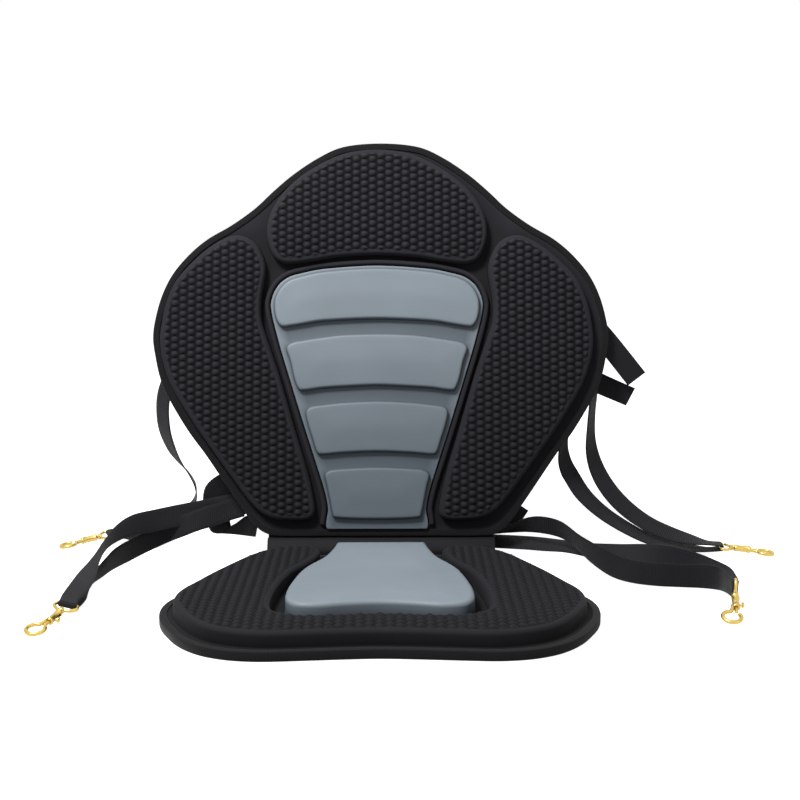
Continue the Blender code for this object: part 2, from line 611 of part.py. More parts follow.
def cylinder(name, start, end, radius, sides, look, parent, place):
    """A cylinder between two points of its parent's frame."""
    start, end = Vector(start), Vector(end)
    bm = bmesh.new()
    turn = (end - start).to_track_quat("Z", "Y").to_matrix().to_4x4()
    bmesh.ops.create_cone(bm, cap_ends=True, segments=sides, radius1=radius, radius2=radius,
                          depth=(end - start).length,
                          matrix=Matrix.Translation((start + end) / 2) @ turn)
    mesh = bpy.data.meshes.new(name)
    bm.to_mesh(mesh)
    bm.free()
    obj = add(name, mesh, look, parent, place)
    mesh.shade_smooth()
    mesh.set_sharp_from_angle(angle=math.radians(35))
    return obj


def combine(target, tool, operation):
    """Joins the tool to the target, or cuts it away, and keeps only the result."""
    cut = target.modifiers.new(operation.lower(), "BOOLEAN")
    cut.operation = operation
    cut.object = tool
    bpy.context.view_layer.update()
    graph = bpy.context.evaluated_depsgraph_get()
    mesh = bpy.data.meshes.new_from_object(target.evaluated_get(graph))
    target.modifiers.clear()
    target.data = mesh
    bpy.data.objects.remove(tool)
    return target


def snap_frame(at, ahead, bar, thumb):
    """Two frames at the webbing bar, +X to the tip: one with +Y along the bar, one at the thumb."""
    forward = Vector(ahead).normalized()
    frames = []
    for way in (bar, thumb):
        sideways = Vector(way) - forward * Vector(way).dot(forward)
        sideways.normalize()
        up = forward.cross(sideways)
        turn = Matrix((forward, sideways, up)).transposed().to_4x4()
        frames.append(Matrix.Translation(Vector(at) * MM) @ turn)
    return frames


def make_snap(side, at, ahead, bar, thumb):
    """Bolt snap: a swivel eye on the webbing, the hook with its barrel, and a sprung bolt."""
    eye_place, hook_place = snap_frame(at, ahead, bar, thumb)
    eye_frame = empty(f"{side}_eye_frame", eye_place)
    hook_frame = empty(f"{side}_hook_frame", hook_place)
    here = Matrix.Identity(4)
    half = EYE_INSIDE / 2 + WIRE / 2
    shoulder = WIRE / 2 + 1.2 * MM
    reach = EYE_REACH
    loop = [(0, -half + shoulder), (0, half - shoulder), (shoulder * 0.3, half - shoulder * 0.3),
            (shoulder, half), (reach * 0.5, half), (reach * 0.8, half * 0.72),
            (reach, half * 0.36), (reach, -half * 0.36), (reach * 0.8, -half * 0.72),
            (reach * 0.5, -half), (shoulder, -half), (shoulder * 0.3, -half + shoulder * 0.3)]
    eye = as_mesh(tube(f"{side}_swivel_eye", [(x, y, 0) for x, y in loop], WIRE / 2, BRASS,
                       eye_frame, here, True, 1))
    collar_to = reach + COLLAR_LONG
    collar = cylinder("collar", (reach - 1 * MM, 0, 0), (collar_to, 0, 0), COLLAR_RADIUS, 12,
                      BRASS, eye_frame, here)
    combine(eye, collar, "UNION")
    socket = cylinder("socket", (reach + 1.2 * MM, 0, 0), (collar_to + 1 * MM, 0, 0),
                      SWIVEL_PIN + RUNNING, 12, BRASS, eye_frame, here)
    combine(eye, socket, "DIFFERENCE")
    barrel = cylinder(f"{side}_hook_body", (BARREL_FROM, 0, 0), (BARREL_TO, 0, 0), BARREL_RADIUS,
                      14, BRASS, hook_frame, here)
    pin = cylinder("pin", (reach + 1.2 * MM + RUNNING, 0, 0), (BARREL_FROM + 1 * MM, 0, 0),
                   SWIVEL_PIN, 12, BRASS, hook_frame, here)
    combine(barrel, pin, "UNION")
    line = [(BARREL_TO - 4 * MM, -BARREL_RADIUS + HOOK_WIRE / 2 - 1.0 * MM, 0)]
    for degrees in range(186, 500, 20):
        angle = math.radians(degrees)
        line.append((HOOK_CENTRE + HOOK_RADIUS * math.cos(angle),
                     -HOOK_OFFSET + HOOK_RADIUS * math.sin(angle), 0))
    arm = as_mesh(tube("arm", line, HOOK_WIRE / 2, BRASS, hook_frame, here, False, 1))
    combine(barrel, arm, "UNION")
    bore_from = BARREL_FROM + 2 * MM
    bore = cylinder("bore", (bore_from, 0, 0), (BARREL_TO + 3 * MM, 0, 0), BORE_RADIUS, 12, BRASS,
                    hook_frame, here)
    combine(barrel, bore, "DIFFERENCE")
    bolt_back = BARREL_TO - BOLT_GRIP
    stem_at = bolt_back + 1.8 * MM
    slot_radius = (STEM_RADIUS + RUNNING) / math.cos(math.pi / 8)
    slot = cylinder("slot", (stem_at, 0, 0), (stem_at, 6 * MM, 0), slot_radius, 8, BRASS,
                    hook_frame, here)
    turn = Matrix.Rotation(math.pi / 8, 4, "Y")
    slot.data.transform(Matrix.Translation((stem_at, 0, 0)) @ turn
                        @ Matrix.Translation((-stem_at, 0, 0)))
    for vert in slot.data.vertices:
        if vert.co.x < stem_at:
            vert.co.x -= BOLT_TRAVEL
    combine(barrel, slot, "DIFFERENCE")
    gate_tip = HOOK_CENTRE - HOOK_RADIUS * math.cos(math.asin(HOOK_OFFSET / HOOK_RADIUS))
    bolt = cylinder(f"{side}_thumb_bolt", (bolt_back, 0, 0), (gate_tip - 0.2 * MM, 0, 0),
                    BOLT_RADIUS, 12, BRASS, hook_frame, here)
    stem = cylinder("stem", (stem_at, 0.4 * MM, 0), (stem_at, THUMB_REACH - 0.6 * MM, 0),
                    STEM_RADIUS, 8, BRASS, hook_frame, here)
    combine(bolt, stem, "UNION")
    knob = cylinder("knob", (stem_at, THUMB_REACH - 1.8 * MM, 0), (stem_at, THUMB_REACH, 0),
                    THUMB_RADIUS, 12, BRASS, hook_frame, here)
    combine(bolt, knob, "UNION")
    coil = []
    spring_radius = BORE_RADIUS - GAP - SPRING_WIRE * 0.9
    spring_from, spring_to = bore_from + SPRING_WIRE, bolt_back - SPRING_WIRE
    for i in range(SPRING_TURNS * 6 + 1):
        angle = 2 * math.pi * i / 6
        coil.append((spring_from + (spring_to - spring_from) * i / (SPRING_TURNS * 6),
                     spring_radius * math.cos(angle), spring_radius * math.sin(angle)))
    tube(f"{side}_bolt_spring", coil, SPRING_WIRE / 2, STEEL, hook_frame, here, False, 0)


def make_seat():
    edge = whole_outline(SEAT_EDGE, SEAT_WIDE, SEAT_TALL, 1)
    here = Matrix.Identity(4)
    cover_low = SEAT_FIELD
    moulded("seat_bottom_cover", edge, cover_low, cover_low + COVER, RUBBERY, SEAT, here,
            under=[{"line": inset(edge, FIELD_MARGIN), "rise": -SEAT_FIELD,
                    "shoulder": 0.6 * MM}])
    low = cover_low + COVER + GAP
    pad = whole_outline(SEAT_PAD, SEAT_WIDE, SEAT_TALL)
    moulded("seat_top_panel", edge, low, low + FLANGE, BLACK_FOAM, SEAT, here,
            over=[{"line": pad, "rise": PAD_RISE, "shoulder": SHOULDER, "steps": 2,
                   "bumps": True}])
    reach = SEAT_REAR - TAPE_LEAF - GAP
    insert = stopped(whole_outline(SEAT_INSERT_EDGE, SEAT_WIDE, SEAT_TALL), -reach, reach)
    base = SEAT_FACE + GAP
    moulded("seat_grey_insert", insert, base, base + BACK_INSERT_BASE, GREY_FOAM, SEAT, here,
            over=[{"line": inset(insert, 0.8 * MM), "rise": SEAT_INSERT - BACK_INSERT_BASE,
                   "shoulder": SHOULDER, "steps": 3}])
    binding("seat_edge_binding", edge, cover_low, low + FLANGE, TAPE_LOOK, SEAT, here)


def make_backrest(back):
    wide, tall = BACK_WIDE, BACK_TALL
    edge = whole_outline(BACK_EDGE, wide, tall, 1)
    here = Matrix.Identity(4)
    pads = [whole_outline(TOP_PAD, wide, tall)]
    pads += [side_outline(SIDE_PAD, wide, tall, side) for side in (-1, 1)]
    moulded("backrest_front_panel", edge, BACK_REAR, BACK_FACE, BLACK_FOAM, back, here,
            over=[{"line": shifted(pad, FACE_SHIFT), "rise": BACK_PAD_RISE,
                   "shoulder": SHOULDER, "steps": 2, "bumps": True} for pad in pads])
    insert = stopped(whole_outline(BACK_INSERT, wide, tall), TAPE_LEAF + GAP, BACK_HEIGHT)
    ribs = [{"line": shifted(whole_outline(rib, wide, tall), FACE_SHIFT), "rise": BACK_RIB_RISE,
             "shoulder": RIB_EDGE, "steps": 1} for rib in RIBS]
    base = BACK_FACE + GAP
    moulded("backrest_grey_insert", shifted(insert, FACE_SHIFT), base, base + BACK_INSERT_BASE,
            GREY_FOAM, back, here, over=ribs)
    pocket = BOARD + 2 * GAP
    moulded("backrest_rear_cover", edge, COVER_REAR, COVER_REAR + COVER, RUBBERY, back, here,
            over=[{"line": inset(edge, BOARD_MARGIN), "rise": -pocket}],
            under=[{"line": inset(edge, FIELD_MARGIN), "rise": -BACK_FIELD,
                    "shoulder": 1.5 * MM, "steps": 2}])
    board_low = COVER_REAR + COVER - pocket + GAP
    moulded("backrest_stiffener_board", inset(edge, BOARD_MARGIN + GAP), board_low,
            board_low + BOARD, PLASTIC, back, here)
    binding("backrest_edge_binding", edge, COVER_REAR, BACK_FACE, TAPE_LOOK, back, here)
    for name, height in (("upper", UPPER_BAND_AT), ("lower", LOWER_BAND_AT)):
        inner = half_width(BACK_EDGE, wide, tall, height) - BAND_INSET
        band(f"{name}_webbing_band", height, inner, back)
        for side, label in ((-1, "left"), (1, "right")):
            buckle(f"{name}_{label}_buckle", side, inner, height, back)


def make_hinge_strip():
    """Fabric from the seat's rear edge under the backrest's bottom edge and up its back."""
    rear = SEAT_REAR + GAP + TAPE + GAP + WEBBING_THICK / 2
    up, out = Vector((0, math.sin(RECLINE), math.cos(RECLINE))), Vector(
        (0, -math.cos(RECLINE), math.sin(RECLINE)))
    hinge = Vector((0, HINGE_Y, HINGE_Z))
    back_level = COVER_REAR - GAP - TAPE - GAP - WEBBING_THICK / 2
    under = -(GAP + TAPE + GAP + WEBBING_THICK / 2) - 0.6 * MM
    path = [Vector((0, rear, HINGE_STRIP_FOOT)), Vector((0, rear, HINGE_STRIP_TURN * 0.6)),
            Vector((0, rear + 1.2 * MM, HINGE_STRIP_TURN)),
            hinge + out * (BACK_FACE * 0.7) + up * (under - 2.2 * MM),
            hinge + out * (BACK_REAR * 0.95) + up * (under - 0.6 * MM),
            hinge + out * (back_level + 0.4 * MM) + up * under,
            hinge + out * back_level + up * 3 * MM,
            hinge + out * back_level + up * HINGE_STRIP_TOP]
    stations = [(at / MM, (1, 0, 0), 1) for at in path]
    ribbon("fabric_hinge_strip", stations, HINGE_STRIP_WIDTH, HINGE_STRIP_THICK, WEBBING_LOOK,
           steps=2)


def strap(side, out, back):
    """One length of webbing: down one leg, round the snap's bar and up the other."""
    eye_place, _ = snap_frame(*SNAPS[side])
    line = out + turn_round(eye_place, out[-1][0], back[0][0], out[-1][2]) + back
    ribbon(f"{side}_strap", line, WEBBING, WEBBING_THICK, WEBBING_LOOK, None, None, 1)


clear_scene()
PARTS = collection("kayak_seat")
GUIDES = collection("guides")
BLACK_FOAM = material("black_foam", (0.020, 0.020, 0.024), 0.75)
GREY_FOAM = material("grey_foam", (0.27, 0.32, 0.37), 0.6)
RUBBERY = material("backing_fabric", (0.012, 0.012, 0.013), 0.85)
TAPE_LOOK = material("binding_tape", (0.015, 0.015, 0.015), 0.8)
WEBBING_LOOK = material("webbing", (0.012, 0.012, 0.014), 0.7)
PLASTIC = material("black_plastic", (0.01, 0.01, 0.01), 0.45)
BRASS = material("brass", (0.78, 0.55, 0.13), 0.25, 1.0)
STEEL = material("spring_steel", (0.5, 0.5, 0.52), 0.3, 1.0)

SEAT = empty("seat_frame", Matrix.Identity(4))
TILT = Matrix.Rotation(math.pi / 2 - RECLINE, 4, "X")
BACK = empty("backrest_fold_axis", Matrix.Translation((0, HINGE_Y, HINGE_Z)) @ TILT)
make_seat()
make_backrest(BACK)
make_hinge_strip()
for side, (at, ahead, bar, thumb) in SNAPS.items():
    make_snap(side, at, ahead, bar, thumb)
for side, out, back in (("rear_right", REAR_RIGHT_LEG_OUT, REAR_RIGHT_LEG_BACK),
                        ("front_right", FRONT_RIGHT_LEG_OUT, FRONT_RIGHT_LEG_BACK),
                        ("front_left", FRONT_LEFT_LEG_OUT, FRONT_LEFT_LEG_BACK),
                        ("rear_left", REAR_LEFT_LEG, REAR_LEFT_TAIL)):
    strap(side, out, back)
for name, stations in (("upper_right_strap_tail", UPPER_TAIL),
                       ("lower_right_strap_tail", LOWER_TAIL),
                       ("right_anchor_tab", LOWER_TAB)):
    ribbon(name, stations, WEBBING, WEBBING_THICK, WEBBING_LOOK, BACK)
ribbon("left_folded_strap_end", FOLDED_LOOP, WEBBING, WEBBING_THICK, WEBBING_LOOK)
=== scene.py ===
"""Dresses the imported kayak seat: moulded foam pads, binding tape, webbing straps and brass snaps,
each made in its place over the frame, then a white studio and its camera."""

import json
from math import ceil, copysign, cos, floor, pi, radians, sin

import bpy
import numpy as np
from numpy.linalg import norm
from bpy.props import FloatProperty, FloatVectorProperty, PointerProperty
from mathutils import Matrix, Vector
from mathutils.geometry import delaunay_2d_cdt


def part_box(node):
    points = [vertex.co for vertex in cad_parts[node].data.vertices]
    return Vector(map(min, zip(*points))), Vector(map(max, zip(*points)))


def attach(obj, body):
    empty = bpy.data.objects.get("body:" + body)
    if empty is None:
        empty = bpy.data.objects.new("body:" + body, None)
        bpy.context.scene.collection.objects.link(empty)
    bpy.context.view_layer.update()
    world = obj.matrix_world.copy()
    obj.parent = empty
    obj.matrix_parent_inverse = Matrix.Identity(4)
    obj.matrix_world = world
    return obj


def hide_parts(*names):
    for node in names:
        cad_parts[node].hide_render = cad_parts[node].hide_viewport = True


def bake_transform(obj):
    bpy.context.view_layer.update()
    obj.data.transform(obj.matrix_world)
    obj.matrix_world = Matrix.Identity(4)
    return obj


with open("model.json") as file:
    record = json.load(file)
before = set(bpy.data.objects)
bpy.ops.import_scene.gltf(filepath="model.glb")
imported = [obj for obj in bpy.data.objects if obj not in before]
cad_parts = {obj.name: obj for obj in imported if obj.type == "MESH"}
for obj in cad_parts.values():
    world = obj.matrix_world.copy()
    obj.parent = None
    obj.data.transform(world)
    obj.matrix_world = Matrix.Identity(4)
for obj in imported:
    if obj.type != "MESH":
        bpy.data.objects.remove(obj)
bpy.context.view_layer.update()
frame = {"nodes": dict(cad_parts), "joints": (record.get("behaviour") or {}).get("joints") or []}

bl_info = {
    "name": "Kayak Seat",
    "version": (1, 0, 0),
    "blender": (4, 5, 0),
    "location": "View3D > Sidebar > Kayak Seat",
    "description": "Models a folding kayak seat over its packed frame",
    "category": "Object",
}

MM = 0.001
FOLD = Vector(next(joint["pos_m"] for joint in frame["joints"]
                   if joint["name"] == "backrest_fold"))
RECLINE = radians(13.8)
FACE_SHIFT = -4.5 * MM
SEAT_BASE, SEAT_FACE = 1.2 * MM, 8.1 * MM
BACK_REAR, BACK_FACE = -18.5 * MM, -11.6 * MM
GLUE = 0.3 * MM
BACK = Matrix.Translation(FOLD) @ Matrix.Rotation(pi / 2 - RECLINE, 4, "X")

# Half outlines in millimetres, from the middle of one side round to the other
BACK_EDGE = [
    (0, 442), (42, 438), (71, 425), (99, 406), (121, 387), (142, 367), (168, 348), (195, 332),
    (216, 314), (234, 292), (246, 267), (253, 240), (255, 220), (252, 199), (246, 174),
    (235, 150), (215, 117), (195, 90), (173, 58), (155, 32), (142, 14), (128, 3), (108, 0),
    (60, 0), (0, 0)]
TOP_PAD = [
    (0, 434), (30, 431), (52, 423.5), (73, 412), (90, 400), (104, 386.5), (115, 371), (122, 355),
    (124, 339), (121, 323), (114, 310), (104, 304.5), (90, 304.5), (68, 307.5), (44, 311.5),
    (0, 314)]
SIDE_PAD = [
    (157, 336), (178, 328.5), (202, 310), (224, 286), (236.5, 258), (241.5, 230), (242, 212),
    (238.5, 192), (228.5, 165), (205, 126), (178.5, 88), (151.5, 51), (139.5, 36), (128, 25),
    (114, 18.5), (96, 16.5), (78, 17), (69.5, 24), (71, 42), (78, 72), (90, 112), (101, 150),
    (111, 183), (123, 218), (129.5, 240), (130, 262), (127, 282), (125, 298), (129, 314),
    (139, 329)]
BACK_INSERT = [
    (0, 302), (57, 298.5), (82, 294), (99, 289), (111, 279.5), (118, 265), (118.5, 250),
    (110, 215), (98, 175), (83.5, 128), (67.5, 78), (59, 51), (54.5, 30), (52.5, 3), (0, 3)]
RIBS = [
    [(0, 299.5), (56, 296), (80, 291.5), (97, 286.5), (108.5, 277.5), (115.5, 264), (116, 250),
     (113, 238), (107, 231), (98, 231.5), (82, 234), (59, 237.5), (0, 240)],
    [(0, 225), (37, 224), (59, 221.5), (82, 218), (96, 215), (102.5, 208), (98, 193), (94, 175),
     (89.5, 163), (84, 159), (60, 162), (37, 163.5), (0, 165)],
    [(0, 149.5), (37, 148), (60, 145.5), (75, 143), (80.5, 136), (78, 122), (73, 106), (68, 91),
     (62, 87.5), (37, 89.5), (0, 91)],
    [(0, 76), (36, 74.5), (53, 72.5), (59.5, 66), (57, 54), (54, 39), (50.5, 23), (45, 17.5),
     (0, 16)],
]
SEAT_EDGE = [
    (0, -151), (30, -152.5), (60, -155), (100, -158), (122, -156.5), (140, -152), (158, -143),
    (173, -130), (186, -113), (196, -94), (204, -76), (209, -58), (211, -40), (210, -24),
    (206, -8), (198.5, 8), (189, 31), (180, 50), (170, 72), (160, 93), (149, 112), (138, 128),
    (127, 140), (114, 148), (98, 151), (50, 151), (0, 151)]
SEAT_PAD = [
    (0, -140), (30, -141.5), (60, -144), (98, -147), (120, -144.5), (138, -139), (154, -130),
    (167, -117), (179, -99), (189, -79), (196, -60), (198.5, -42), (197.5, -24), (193, -8),
    (187, 6), (171, 45), (151, 87), (141, 106), (130, 121), (118, 133), (104, 140), (86, 142),
    (74, 139), (66, 124), (70, 96), (79, 72), (91, 47), (99, 14), (103, -14), (105, -48),
    (103, -72), (95, -86), (74, -96), (38, -94), (0, -91)]
SEAT_INSERT = [
    (0, -67), (30, -70), (58, -76), (78, -74), (88, -64), (92, -44), (90, -8), (80, 44),
    (62, 85), (54, 116), (50, 138), (46, 148), (0, 148)]

# Webbing routes out to each snap and back: each row is a centre in millimetres, the direction of
# the width there and, if it isn't 1, how far the width is gathered or spread
ROUTES = {
    "rear_right": ([
    (224, 227.4, 204, 0, 0.24, 0.97), (236, 228, 199, 0.14, 0.34, 0.93),
    (242.5, 227, 188, 0.45, 0.75, 0.48), (242, 227, 172, 0.46, 0.8, 0.37),
    (240, 226, 146, 0.46, 0.79, 0.4), (240, 225, 117, 0.53, 0.7, 0.48),
    (247, 222, 91, 0.58, 0.65, 0.5), (261, 217, 67, 0.6, 0.66, 0.44),
    (280, 209, 47, 0.6, 0.7, 0.4), (304, 200, 31, 0.5, 0.76, 0.38),
    (330, 192, 21, 0.35, 0.84, 0.36), (353, 187, 16, 0.14, 0.95, 0.2, 0.95),
    (370, 184, 13, 0.08, 0.99, 0, 0.74)], [
    (370, 184, 5.6, 0.08, 0.99, 0, 0.74), (352, 184, 7, 0.06, 0.98, 0.08, 0.95),
    (324, 184, 11.5, 0.05, 0.98, 0.16), (295, 190, 20, 0.2, 0.93, 0.3),
    (258, 199, 40, 0.6, 0.75, 0.2), (232, 206, 62, 0.7, 0.68, 0.2),
    (217, 211, 84, 0.62, 0.68, 0.38), (210, 213, 97, 0.54, 0.66, 0.52),
    (207, 215, 112, 0.5, 0.6, 0.62), (209, 217, 131, 0.5, 0.6, 0.62),
    (214, 221, 150, 0.45, 0.5, 0.74)]),
    "front_right": ([
    (86, 190.2, 59, 0.5, 0.21, 0.84), (103, 192.6, 43, 0.35, 0.02, 0.9),
    (119, 191.8, 28, -0.05, -0.76, 0.65), (143, 188, 30, 0.06, -0.76, 0.64),
    (163, 176, 37, 0.14, -0.55, 0.82), (180, 164, 39.5, 0, -0.48, 0.88),
    (198, 154, 37, -0.05, -0.5, 0.86), (212, 139, 30, 0.14, -0.72, 0.66),
    (223, 124, 24, 0.3, -0.62, 0.72), (236, 104, 18, 0.34, -0.36, 0.87),
    (250, 86, 14, 0.24, -0.05, 0.97), (266, 68, 14, 0.1, 0, 1), (288, 58, 14, 0, 0, 1),
    (312, 54, 14, 0, 0, 1), (332, 48, 15, 0, 0.06, 1), (344, 30, 18, 0, 0.1, 1, 0.95),
    (346.2, 3, 20.5, 0.02, 0.02, 1, 0.76)], [
    (353.4, 2, 20.5, 0.02, 0.02, 1, 0.76), (354, 30, 18, 0.05, 0.1, 1, 0.95),
    (347, 66, 15, 0.05, 0.1, 1), (334, 98, 14, 0.03, 0.15, 0.98), (313, 122, 14, 0, 0.3, 0.95),
    (290, 137, 12.5, 0, 0.5, 0.87), (262, 147, 11, 0, 0.7, 0.71), (232, 154, 13, 0, 0.9, 0.43),
    (205, 166, 14.5, 0, 0.95, 0.31), (182, 177, 14, 0, 0.93, 0.37),
    (160, 184, 14, 0, 0.93, 0.37), (121, 192, 14, 0, 0.93, 0.37)]),
    "front_left": ([
    (-128, 192.1, 59.5, 0, 0.24, 0.97), (-148, 193.6, 58.5, 0, 0.25, 0.97),
    (-168, 197.6, 55, 0.01, 0.28, 0.96), (-187, 198.5, 51.5, 0.02, 0.3, 0.95),
    (-206, 193, 48.5, 0.02, 0.36, 0.93), (-230, 185, 45.5, -0.04, 0.36, 0.93),
    (-252, 175, 43, -0.02, 0.4, 0.92), (-274, 158, 42, -0.06, 0.58, 0.81),
    (-288, 138, 38, -0.14, 0.82, 0.54), (-295, 110, 32.5, -0.26, 0.94, 0.16),
    (-297, 80, 27.5, -0.4, 0.91, 0.02), (-297, 52, 24.5, -0.6, 0.79, 0.08),
    (-297, 26, 23, -0.76, 0.62, 0.14), (-297, 0, 22, -0.84, 0.5, 0.18, 0.95),
    (-300, -30, 19.5, -0.93, 0.33, 0.12, 0.76)], [
    (-299, -30, 12.3, -0.93, 0.33, 0.12, 0.76), (-300, 0, 11, -0.8, 0.55, 0.12, 0.95),
    (-303, 30, 8.5, -0.66, 0.72, 0.14), (-304, 62, 7.5, -0.42, 0.86, 0.24),
    (-301, 82, 7, -0.16, 0.92, 0.3), (-297, 102, 8.6, 0.04, 0.79, 0.61),
    (-290, 129, 11.8, 0.1, 0.48, 0.87), (-277, 160, 13.6, 0.1, 0.24, 0.96),
    (-256, 184, 20, 0.06, 0.22, 0.97), (-238, 186, 28, 0.03, 0.26, 0.96),
    (-220, 181, 36, 0.02, 0.32, 0.94), (-203, 184, 42, 0.01, 0.34, 0.94),
    (-186, 189, 46, 0, 0.3, 0.95), (-170, 192.6, 51, 0, 0.28, 0.96),
    (-154, 191.6, 56, 0, 0.25, 0.97)]),
    "rear_left": ([
    (-224, 227.4, 204, 0, 0.24, 0.97), (-237, 228.6, 197, -0.25, 0.4, 0.88),
    (-246, 228, 180, -0.66, 0.7, 0.2), (-249, 227, 160, -0.68, 0.72, 0),
    (-247, 226, 135, -0.66, 0.74, 0), (-239, 225, 112, -0.56, 0.82, 0),
    (-230, 223, 98, -0.4, 0.92, 0), (-220, 221, 86, -0.22, 0.97, 0),
    (-213, 219, 73, -0.14, 0.99, 0), (-212, 217, 60, -0.16, 0.98, 0.02),
    (-218, 215, 48, -0.24, 0.95, 0.16), (-234, 215, 38, -0.26, 0.93, 0.24),
    (-260, 222, 28, -0.26, 0.94, 0.2), (-284, 232, 20, -0.3, 0.94, 0.12, 0.95),
    (-303, 240, 15, -0.35, 0.93, 0.06, 0.76)], [
    (-303, 240, 7.8, -0.35, 0.93, 0.06, 0.76), (-286, 232, 8, -0.3, 0.94, 0.12, 0.95),
    (-266, 224, 10, -0.26, 0.95, 0.14), (-246, 217, 13, -0.26, 0.95, 0.14)]),
}
FOLDED_END = [
    (-158, 192.4, 85, -0.55, 0.2, 0.81), (-174, 205, 77, -0.6, 0, 0.78, 1.2),
    (-187, 208, 62, -0.75, 0.05, 0.66, 1.4), (-188, 208, 44, -0.92, 0, 0.38, 1.3),
    (-185, 205, 31, -0.98, 0, 0.12, 1.1), (-181, 204, 24, -0.96, 0.05, -0.2),
    (-171, 203, 28, -0.75, 0.2, -0.62, 1.1), (-157, 198, 31.5, -0.45, 0.3, -0.84, 1.2),
    (-140, 190.8, 31, -0.2, 0.26, -0.95, 1.05)]

# These three lie on the backrest and are given in its own frame
UPPER_TAIL = [
    (216, 264, -22.9, 0.5, 0.86, 0), (234, 243, -22.9, 0.72, 0.69, 0),
    (256, 218, -23.4, 0.8, 0.6, 0), (290, 175, -26, 0.8, 0.6, 0.05)]
LOWER_TAIL = [
    (214, 186, -30.4, 0.06, 0.99, 0), (228, 182, -32.5, 0.2, 0.98, 0),
    (246, 174, -46, 0.36, 0.93, 0.06, 0.95), (286, 156, -44, 0.46, 0.88, 0.14, 0.9)]
ANCHOR_TAB = [
    (131, 36.5, -28.6, 0.4, 0.92, 0, 0.9), (145, 26, -28.6, 0.5, 0.86, 0, 0.95),
    (159, 16, -28.6, 0.55, 0.83, 0)]

# Bolt snaps: middle of the webbing bar, way to the tip, way of the bar, way of the thumb knob
SNAPS = {
    "front_right": ((349.5, -11.5, 20.5), (-0.18, -0.93, -0.29), (0.02, 0.02, 1), (1, 0, 0)),
    "front_left": ((-299.6, -43, 15.9), (-0.33, -0.92, -0.20), (-0.93, 0.33, 0.12), (1, 0, 0)),
    "rear_right": ((383, 183.6, 9.3), (0.99, -0.08, -0.10), (0.08, 0.99, 0), (0, 1, 0)),
    "rear_left": ((-315.5, 234.6, 11.2), (-0.91, -0.38, -0.13), (-0.35, 0.93, 0.06), (0, 1, 0)),
}


def linear(code):
    """The linear colour of an sRGB hex value."""
    parts = [int(code[i:i + 2], 16) / 255 for i in (1, 3, 5)]
    return [p / 12.92 if p <= 0.04045 else ((p + 0.055) / 1.055) ** 2.4 for p in parts]


def length(name, description, default):
    return FloatProperty(name=name, description=description, default=default, unit="LENGTH")


def tone(name, description, code):
    return FloatVectorProperty(name=name, description=description, default=linear(code),
                               subtype="COLOR")


class KayakSeatSizes(bpy.types.PropertyGroup):
    """Sizes that change the look of the seat's surface"""

    column_pitch: length("Column pitch", "Distance between bump columns", 9.2 * MM)
    row_pitch: length("Row pitch", "Distance between bumps in a column", 8.2 * MM)
    bump_height: length("Bump height", "How far a bump stands up", 2.6 * MM)
    bump_border: length("Smooth border", "Plain edge round each pad", 0.5 * MM)
    crown: length("Crown", "How far a pad swells in its middle", 1.6 * MM)
    webbing: length("Webbing width", "Width of the straps", 25 * MM)
    webbing_thick: length("Webbing thickness", "Thickness of the straps", 1.5 * MM)
    hinge_cloth: length("Hinge cloth", "Width of the hinge's cloth", 252 * MM)
    tape: length("Tape thickness", "Thickness of the binding tape", 0.9 * MM)
    tape_leaf: length("Tape leaf", "How far the tape reaches over an edge", 6 * MM)


class KayakSeatColours(bpy.types.PropertyGroup):
    """Colours of the seat's materials"""

    black_foam: tone("Black foam", "Laminated foam of the pads", "#2F2F34")
    grey_foam: tone("Grey foam", "Pressed foam of the inserts", "#88929A")
    tape: tone("Binding tape", "Tape sewn round the edges", "#161618")
    webbing: tone("Webbing", "Webbing of the straps", "#17171B")
    brass: tone("Brass", "Brass of the bolt snaps", "#DDBF6C")
    floor: tone("Floor", "Floor and backdrop", "#F4F4F4")


def add_node(tree, kind, settings=None, sockets=None):
    """Adds a shader node with its settings, and values or links for its sockets."""
    made = tree.nodes.new(f"ShaderNode{kind}")
    for name, value in (settings or {}).items():
        setattr(made, name, value)
    for name, value in (sockets or {}).items():
        if isinstance(value, bpy.types.NodeSocket):
            tree.links.new(value, made.inputs[name])
        else:
            made.inputs[name].default_value = value
    return made


def new_material(name, roughness, metallic=0.0, settings=None):
    """A material with its Principled shader, ready for its colour and bump."""
    made = bpy.data.materials.new(name)
    made.use_nodes = True
    shader = made.node_tree.nodes["Principled BSDF"]
    values = {"Roughness": roughness, "Metallic": metallic, **(settings or {})}
    for socket, value in values.items():
        shader.inputs[socket].default_value = value
    return made, made.node_tree


def object_place(tree):
    return add_node(tree, "TexCoord").outputs["Object"]


def noise(tree, place, size, detail=2.0):
    """A noise pattern of this size in millimetres."""
    return add_node(tree, "TexNoise", None, {
        "Vector": place, "Scale": 1 / (size * MM), "Detail": detail}).outputs["Fac"]


def between(tree, value, low, high, top=1.0):
    """The value, from 0 to its top, laid out from low to high."""
    return add_node(tree, "MapRange", None, {
        "Value": value, "From Max": top, "To Min": low, "To Max": high}).outputs["Result"]


def tinted(tree, colour, value, low, high, top=1.0):
    """The colour made darker or lighter, as the value says."""
    return add_node(tree, "VectorMath", {"operation": "SCALE"}, {
        0: colour, "Scale": between(tree, value, low, high, top)}).outputs["Vector"]


def mix_painted_shade(tree, colour, code):
    """The colour turned darker by painted shade, as the mesh's point attribute gives it in the
    moulded recesses, on walls and down the faces.
    """
    painted_shade = add_node(tree, "Attribute", {"attribute_name": "painted_shade"})
    return add_node(tree, "Mix", {"data_type": "RGBA"}, {
        0: painted_shade.outputs["Fac"], 6: colour, 7: (*linear(code), 1)}).outputs[2]


